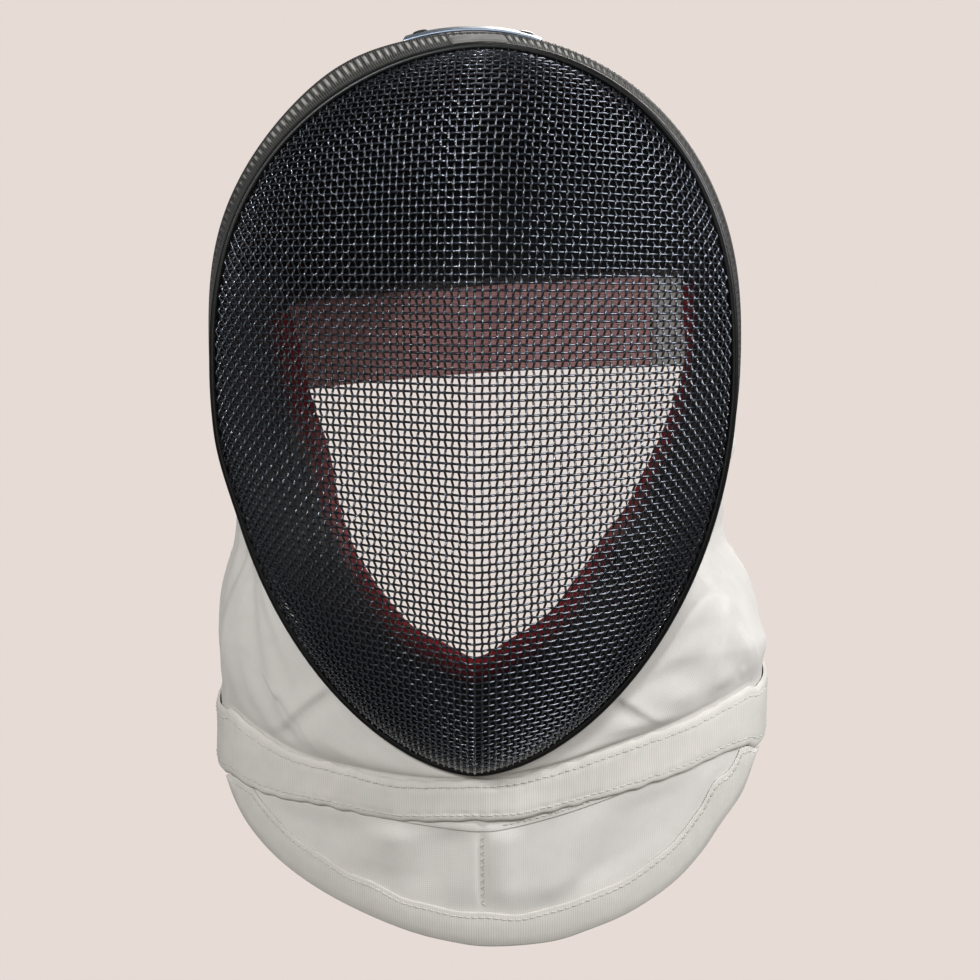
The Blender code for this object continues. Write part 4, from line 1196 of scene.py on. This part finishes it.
def makeBibPanel():
    # the panel hangs straight from the crown's edge to the band, bulged by a sine of the share down and
    # tucked in as the crown is; each seam is a bell-shaped valley with a step beside it
    arc = np.linspace(-1, 1, 361)
    arc = arc * (1 - panel["crowding"] + panel["crowding"] * arc**2)  # closer columns in front, at the seams
    band, reach = bandLine(arc)
    top = bibTopEdge(arc)
    outward = bibOutward(band)[:, None]
    part = np.linspace(0, 1, 57)[None, :, None]
    fade = np.clip(np.abs(arc) / panel["bulgeFrom"], 0, 1)[:, None, None]
    meeting = band + (reach[:, None] + panel["overlap"]) * (0, 0, 1)
    bulge = panel["bulge"] * np.sin(math.pi * part ** panel["bulgePower"])
    slope = top[:, None] * (1 - part) + meeting[:, None] * part + outward * bulge * fade
    lean = normalsOf(slope, (0, bib["side"], -0.1))
    lean = unit(lean * (1 - part) + outward * part)
    share = np.linspace(0, 1, panel["footRows"] + 1)[None, 1:, None]
    foot = meeting[:, None] + (band[:, None] + (0, 0, panel["footLift"]) - meeting[:, None]) * share
    tucked = tuckIn(slope[..., 0], slope[..., 1], slope[..., 2])
    slope[..., 0] -= tucked - tucked[:, :1] * (1 - part[..., 0])
    middle = np.concatenate([slope, foot], axis=1)
    normal = np.concatenate([lean, np.broadcast_to(outward, foot.shape)], axis=1)
    lift = 0 * middle[..., 0]
    for depth, width, step, line in panelLines:
        away, side = nearLine(middle[..., 0], middle[..., 2], line)
        valley = hump(away, 0, width)
        lift = lift - depth * valley + step * side * (1 - valley) * hump(away, 0, 4 * width)
    fall, run = lengthsAlong(middle, 1), lengthsAlong(middle, 0)
    toBand = fall[:, -panel["footRows"] - 1:-panel["footRows"]] - fall
    free = smooth(fall / panel["freeFrom"]) * smooth(toBand / panel["freeFrom"])
    for fold in panel["folds"]:
        lift = lift + unevenness(run, fall, fold)
    middle = middle + normal * (lift * free)[..., None]
    edge = leastOf(fall, run[-1:] - run, run)
    half = bib["thickness"] / 2 * roundedEdge(edge, bib["round"], panel["leastEdge"])
    piece = addCloth("bib_panel", middle, normal, half, bibFinish, ("bib_upper",))


webbing = {
    "thickness": 0.0018, "round": 0.0042, "leastEdge": 0.02, "sewnAt": 0.0036, "sewnWidth": 0.0010,
    "dent": 0.14, "pucker": (0.00022, 0.007, 0.02, 33), "puckerLeast": 0.3,
    "wave": (0.0006, 0.045, 0.03, 31),
    "wander": (0.0005, 0.05, 0.05, 32), "edgeWander": (0.0003, 0.012, 0.012, 34), "standOff": 0.0006,
    "sideStandOff": 0.6, "stitch": (0.0024, 0.0008), "stitchRow": 4,
}


def makeBand():
    # webbing on the band line: rounded edges, a bell-shaped dent at each row of stitches, a gentle wave
    arc = np.linspace(-1, 1, 501)
    band, reach = bandLine(arc)
    outward = bibOutward(band)[:, None]
    part = np.linspace(-1, 1, 27)[None, :]
    run = lengthsAlong(band)[:, None]
    width = 2 * reach[:, None]
    down = part * width / 2
    edge = leastOf(width / 2 - np.abs(down), run, run[-1] - run)
    sewn = hump(edge, webbing["sewnAt"], webbing["sewnWidth"])
    rounding = roundedEdge(edge, webbing["round"], webbing["leastEdge"])
    thick = webbing["thickness"] * rounding * (1 - webbing["dent"] * sewn)
    least = webbing["puckerLeast"]
    pucker = unevenness(run, down, webbing["pucker"]) * (least + (1 - least) * sewn)
    wave = unevenness(run, down, webbing["wave"]) + webbing["standOff"] + pucker
    level = band[:, None, 2] - down + unevenness(run, 0 * down, webbing["wander"])
    level = level + unevenness(run, 0 * down, webbing["edgeWander"]) * np.abs(part) ** 3
    base = np.stack([band[:, None, 0] + 0 * down, band[:, None, 1] + 0 * down, level], axis=-1)
    side = 1 - webbing["sideStandOff"] * frontTurn(arc)[:, None] / (math.pi / 2)
    inner = base + outward * (bib["thickness"] / 2 + bib["gap"] + wave * side)[..., None]
    outer = inner + outward * thick[..., None]
    piece = addShell("bib_webbing", outer, inner, webbingFinish, ("bib_band",))
    rows = [(outer[:, row], outward[:, 0]) for row in (webbing["stitchRow"], -1 - webbing["stitchRow"])]
    addStitches("webbing_stitches", rows, *webbing["stitch"])


hem = {
    "drop": 1.045, "width": 0.014, "flatWidth": 0.032, "steepest": 2.6, "least": 0.0015, "low": 0.0003,
    "high": 0.0012, "wander": (0.0007, 0.03, 0.03, 51), "lips": (0.0016, 0.0006), "fold": 0.0004,
    "folds": (0.0011, -0.0001), "swell": 0.0006, "swellShares": (0.25, 0.5, 0.75), "sewnAt": 0.0024,
    "sewnOff": 0.0002, "stitch": (0.0024, 0.0007),
}


def hemLine(count):
    # the band's line, the hem's level, the level under the band and half the band's width, where the flap
    # shows; the measured drop of the hem below the band is scaled for the flap's lean
    arc = np.linspace(-bib["frontShare"], bib["frontShare"], count)
    band, reach = bandLine(arc)
    levels = smoothPath(hemEdge, 500)
    lowest = np.interp(arc, levels[:, 0], levels[:, 1])
    belowBand = band[:, 2] - reach - bib["gap"]
    lowest = belowBand - (belowBand - lowest) * hem["drop"]
    kept = lowest < belowBand - hem["least"]
    return band[kept], lowest[kept], belowBand[kept], reach[kept]


def hangBack(points, belowBand):
    # below the band the cloth hangs a little back: y plus the lean times the drop below the band
    lower = np.maximum(belowBand - points[..., 2], 0)
    return points + bib["lean"] * lower[..., None] * (0, 1, 0)


def hemRise(band, lowest):
    # how high the tape stands above the hem: its width over the cosine of the hem's slope
    along = np.gradient(band[:, :2], axis=0)
    slope = np.gradient(lowest) / np.maximum(np.linalg.norm(along, axis=-1), 1e-9)
    return hem["width"] * np.minimum(np.sqrt(1 + slope**2), hem["steepest"])


def onCloth(grid, x, z):
    # where lines along +Y through given x and z meet a cloth's outer face, and the softened normals there
    faces = gridQuads(*grid.shape[:2]).tolist()
    tree = BVHTree.FromPolygons(grid.reshape(-1, 3).tolist(), faces)
    hits = [tree.ray_cast((across, -0.3, level), (0, 1, 0))[:2] for across, level in zip(x, z)]
    points = np.array([tuple(place) for place, normal in hits if place is not None])
    normals = [tuple(normal if normal.y < 0 else -normal) for place, normal in hits if place is not None]
    return points, unit(np.stack([runningMean(values, 4) for values in np.array(normals).T], axis=-1))


facing = {
    "height": 0.00055, "share": 0.8, "sewnAt": 0.0020, "fade": 0.08, "leastFade": 0.02, "step": 0.0012,
    "section": (  # how far from the line, and how far off the cloth
        (0.0, -0.0006), (0.0, 0.0003), (0.0005, 0.00055), (0.0018, 0.00045), (0.0034, 0.0001),
        (0.0044, -0.0007),
    ),
    "width": 0.010, "shown": 0.0055, "stitch": (0.0018, 0.0010),
}


def addFacing(flap, line):
    # a layer that ends in a thin sewn edge on the line: its section is carried along the flap's outer
    # face, fading by a root at both ends
    count = max(int(lengthsAlong(line)[-1] / facing["step"]), 12)
    path = evenly(smoothPath(line, 60), count)
    points, normals = onCloth(flap, path[:, 0], path[:, 1])
    across = -unit(np.cross(np.gradient(points, axis=0), normals))
    place = np.linspace(0, 1, len(points))
    fade = np.clip(leastOf(place, 1 - place) / facing["fade"], facing["leastFade"], 1)
    fade = facing["share"] * np.sqrt(fade)
    rings = []
    for away, up in facing["section"]:
        rings.append(points + across * away + normals * (up * np.where(up > 0, fade, 1.0))[:, None])
    piece = addCarried("flap_facing", np.stack(rings, axis=1), bibFinish)
    sewn = points + across * facing["sewnAt"] + normals * facing["height"] * fade[:, None]
    right = len(sewn) // 2
    addStitches("facing_stitches", [(sewn[right:], normals[right:])], *facing["stitch"])


flap = {
    "startLift": 0.0004, "freeFrom": 0.01, "freeTo": 0.012, "seam": (-0.0005, 0.0016), "seamDepth": -0.0016,
    "folds": ((0.0013, 0.008, 0.006, 0), (0.0016, -0.035, 0.008, 1)),  # height, place, width, 1 to fade down
    "wave": (0.0016, 0.05, 0.12, 41), "leastEdge": 0.01, "sewnFrom": 0.0045, "sewnTo": 0.001,
    "stitch": (0.0016, 0.0, 0.0011),
}


def makeFlap():
    # the flap hangs from the band and leans back, with a bell-shaped centre seam and bell-shaped folds
    # that fall from the band
    band, lowest, belowBand, reach = hemLine(301)
    outward = bibOutward(band)
    start = band[:, 2] - flap["startLift"]
    part = np.linspace(0, 1, 37)
    level = start[:, None] + (lowest - start)[:, None] * part
    x = band[:, None, 0] + 0 * level
    middle = np.stack([x, band[:, None, 1] + 0 * level, level], axis=-1)
    run, fall = lengthsAlong(middle, 0), lengthsAlong(middle, 1)
    free = smooth((fall - reach[:, None]) / flap["freeFrom"])
    free = free * smooth((fall[:, -1:] - fall - hemRise(band, lowest)[:, None]) / flap["freeTo"])
    fromCentre = x - bib["offset"]
    lift = flap["seamDepth"] * hump(fromCentre, *flap["seam"])
    for height, place, width, fading in flap["folds"]:
        lift = lift + height * hump(fromCentre, place, width) * (1 - fading * part)
    lift = (lift + unevenness(run, fall, flap["wave"])) * free
    edge = leastOf(run, run[-1:] - run, fall[:, -1:] - fall)
    half = bib["thickness"] / 2 * roundedEdge(edge, bib["round"], flap["leastEdge"])
    middle = hangBack(middle + outward[:, None] * lift[..., None], belowBand[:, None])
    outer, inner = middle + outward[:, None] * half[..., None], middle - outward[:, None] * half[..., None]
    piece = addShell("bib_flap", outer, inner, bibFinish, ("bib_lower",))
    shown = smoothPath(facingEdge, 200)
    line = np.stack([x[:, 0], belowBand - np.interp(x[:, 0], shown[:, 0], shown[:, 1])], axis=-1)
    addFacing(outer, line[(x[:, 0] > facingEdge[0][0]) & (x[:, 0] < facingEdge[-1][0])][::4])
    centre = int(np.argmin(np.abs(x[:, 0] - bib["offset"])))
    low, high = reach[centre] + flap["sewnFrom"], fall[centre, -1] - hem["width"] - flap["sewnTo"]
    seam = outer[centre][(fall[centre] > low) & (fall[centre] < high)]
    addStitches("flap_stitches", [(seam, outward[centre] + 0 * seam)], *flap["stitch"])


def makeHem():
    # a folded section carried along the hem, its outer leg swollen a little by a sine
    band, lowest, belowBand = hemLine(501)[:3]
    outward = bibOutward(band)
    flat = band * (1, 1, 0)
    run = lengthsAlong(flat + lowest[:, None] * (0, 0, 1))
    low, high = bib["thickness"] / 2 + hem["low"], bib["thickness"] / 2 + hem["high"]
    above = lowest + hemRise(band, lowest) + unevenness(run, 0 * run, hem["wander"])
    above = np.minimum(above, belowBand)
    flank = []
    for share in hem["swellShares"]:
        flank.append((-(above + (lowest - above) * share), high + hem["swell"] * math.sin(math.pi * share)))
    section = foldedSection(-above, hem["fold"] - lowest, low, high, hem["lips"], hem["folds"], 7, flank)
    rings = []
    for drop, offset in section:
        rings.append(hangBack(flat - drop[:, None] * (0, 0, 1), belowBand) + outward * offset)
    rings = np.stack(rings, axis=1)
    piece = addCarried("hem_tape", rings, webbingFinish, replaces=("bib_binding",))
    sewn = hangBack(flat + (above - hem["sewnAt"])[:, None] * (0, 0, 1), belowBand)
    sewn = sewn + outward * (high + hem["sewnOff"])
    addStitches("hem_stitches", [(sewn, outward)], *hem["stitch"])


makeBibPanel()
makeBand()
makeFlap()
makeHem()
print("bib")

backdrop = {
    "colour": "#e6dbd5", "light": "#f8f6f0", "fill": 0.20, "floorFill": 0.16, "floorLevel": -0.62,
    "halfSize": 6.0,
}
lampTarget = (0.0, -0.03, -0.15)
lights = (  # name, place, width, height, watts, colour
    ("keySoftbox", (1.05, -0.46, 0.40), 0.52, 0.62, 16.0, "#f9fbff"),
    ("frontLamp", (-0.40, -1.15, 0.40), 0.10, 0.18, 9.0, "#f6f8fb"),
    ("leftLamp", (-0.95, -0.80, 0.25), 0.08, 0.14, 2.8, "#f6f8fb"),
    ("lowSoftbox", (-0.20, -1.30, -0.10), 0.50, 0.40, 1.3, "#fff8ee"),
    ("topSoftbox", (0.05, -0.45, 0.95), 0.30, 0.30, 2.1, "#ffffff"),
    ("rearSoftbox", (0.25, 0.95, 0.25), 0.60, 0.60, 7.0, "#fffaf4"),
)
shot = {
    "azimuth": 3.5, "elevation": 8.5, "distance": 0.95, "lens": 85.2, "sensor": 36.0, "shiftX": 0.0153,
    "target": (0.0, -0.062, -0.1698),
}


def aimed(place, target):
    # a place and a turn whose -Z looks at the target, with +Y up
    back = unit(np.asarray(place, float) - target)
    right = unit(np.cross((0, 0, 1), back))
    up = np.cross(back, right)
    turn = Matrix(np.stack([right, up, back], axis=1).tolist()).to_4x4()
    return Matrix.Translation(np.asarray(place, float).tolist()) @ turn


def paintStage(owner, shader, output, fill):
    # the backdrop's own colour to the camera, and a plain soft fill to the object
    owner.use_nodes = True
    tree = owner.node_tree
    tree.nodes.clear()
    seen = addNode(tree, "LightPath").outputs["Is Camera Ray"]
    plain = addNode(tree, shader, {"Color": linear(backdrop["colour"]), "Strength": 1.0})
    soft = addNode(tree, shader, {"Color": linear(backdrop["light"]), "Strength": fill})
    mix = addNode(tree, "MixShader", {0: seen, 1: soft.outputs[0], 2: plain.outputs[0]})
    addNode(tree, output, {"Surface": mix.outputs[0]})


def makeStage():
    # a plain square floor far below, in the same pale colour as what is round it
    world = bpy.data.worlds.new("studio")
    bpy.context.scene.world = world
    paintStage(world, "Background", "OutputWorld", backdrop["fill"])
    material = bpy.data.materials.new("paleFloor")
    paintStage(material, "Emission", "OutputMaterial", backdrop["floorFill"])
    size, level = backdrop["halfSize"], backdrop["floorLevel"]
    corners = [(-size, -size, level), (size, -size, level), (size, size, level), (-size, size, level)]
    mesh = bpy.data.meshes.new("floor")
    mesh.from_pydata(corners, [], [(0, 1, 2, 3)])
    mesh.materials.append(material)
    floor = bpy.data.objects.new("floor", mesh)
    bpy.context.scene.collection.objects.link(floor)


def makeLights():
    # rectangular lamps, all turned to one target on the object
    for name, place, width, height, watts, colour in lights:
        data = bpy.data.lights.new(name, "AREA")
        data.shape, data.size, data.size_y, data.energy = "RECTANGLE", width, height, watts
        data.color = linear(colour)[:3]
        light = bpy.data.objects.new(name, data)
        bpy.context.scene.collection.objects.link(light)
        light.matrix_world = aimed(place, lampTarget)


def makeCamera():
    # the camera stands at an azimuth, an elevation and a distance from its target
    azimuth, elevation = math.radians(shot["azimuth"]), math.radians(shot["elevation"])
    level = math.cos(elevation)
    back = np.array((math.sin(azimuth) * level, -math.cos(azimuth) * level, math.sin(elevation)))
    data = bpy.data.cameras.new("camera")
    data.lens, data.sensor_width, data.shift_x = shot["lens"], shot["sensor"], shot["shiftX"]
    camera = bpy.data.objects.new("camera", data)
    bpy.context.scene.collection.objects.link(camera)
    target = np.array(shot["target"])
    camera.matrix_world = aimed(target + back * shot["distance"], target)
    bpy.context.scene.camera = camera


makeStage()
makeLights()
makeCamera()
view = bpy.context.scene.view_settings
view.view_transform, view.look, view.exposure, view.gamma = "Standard", "None", 0.0, 1.0
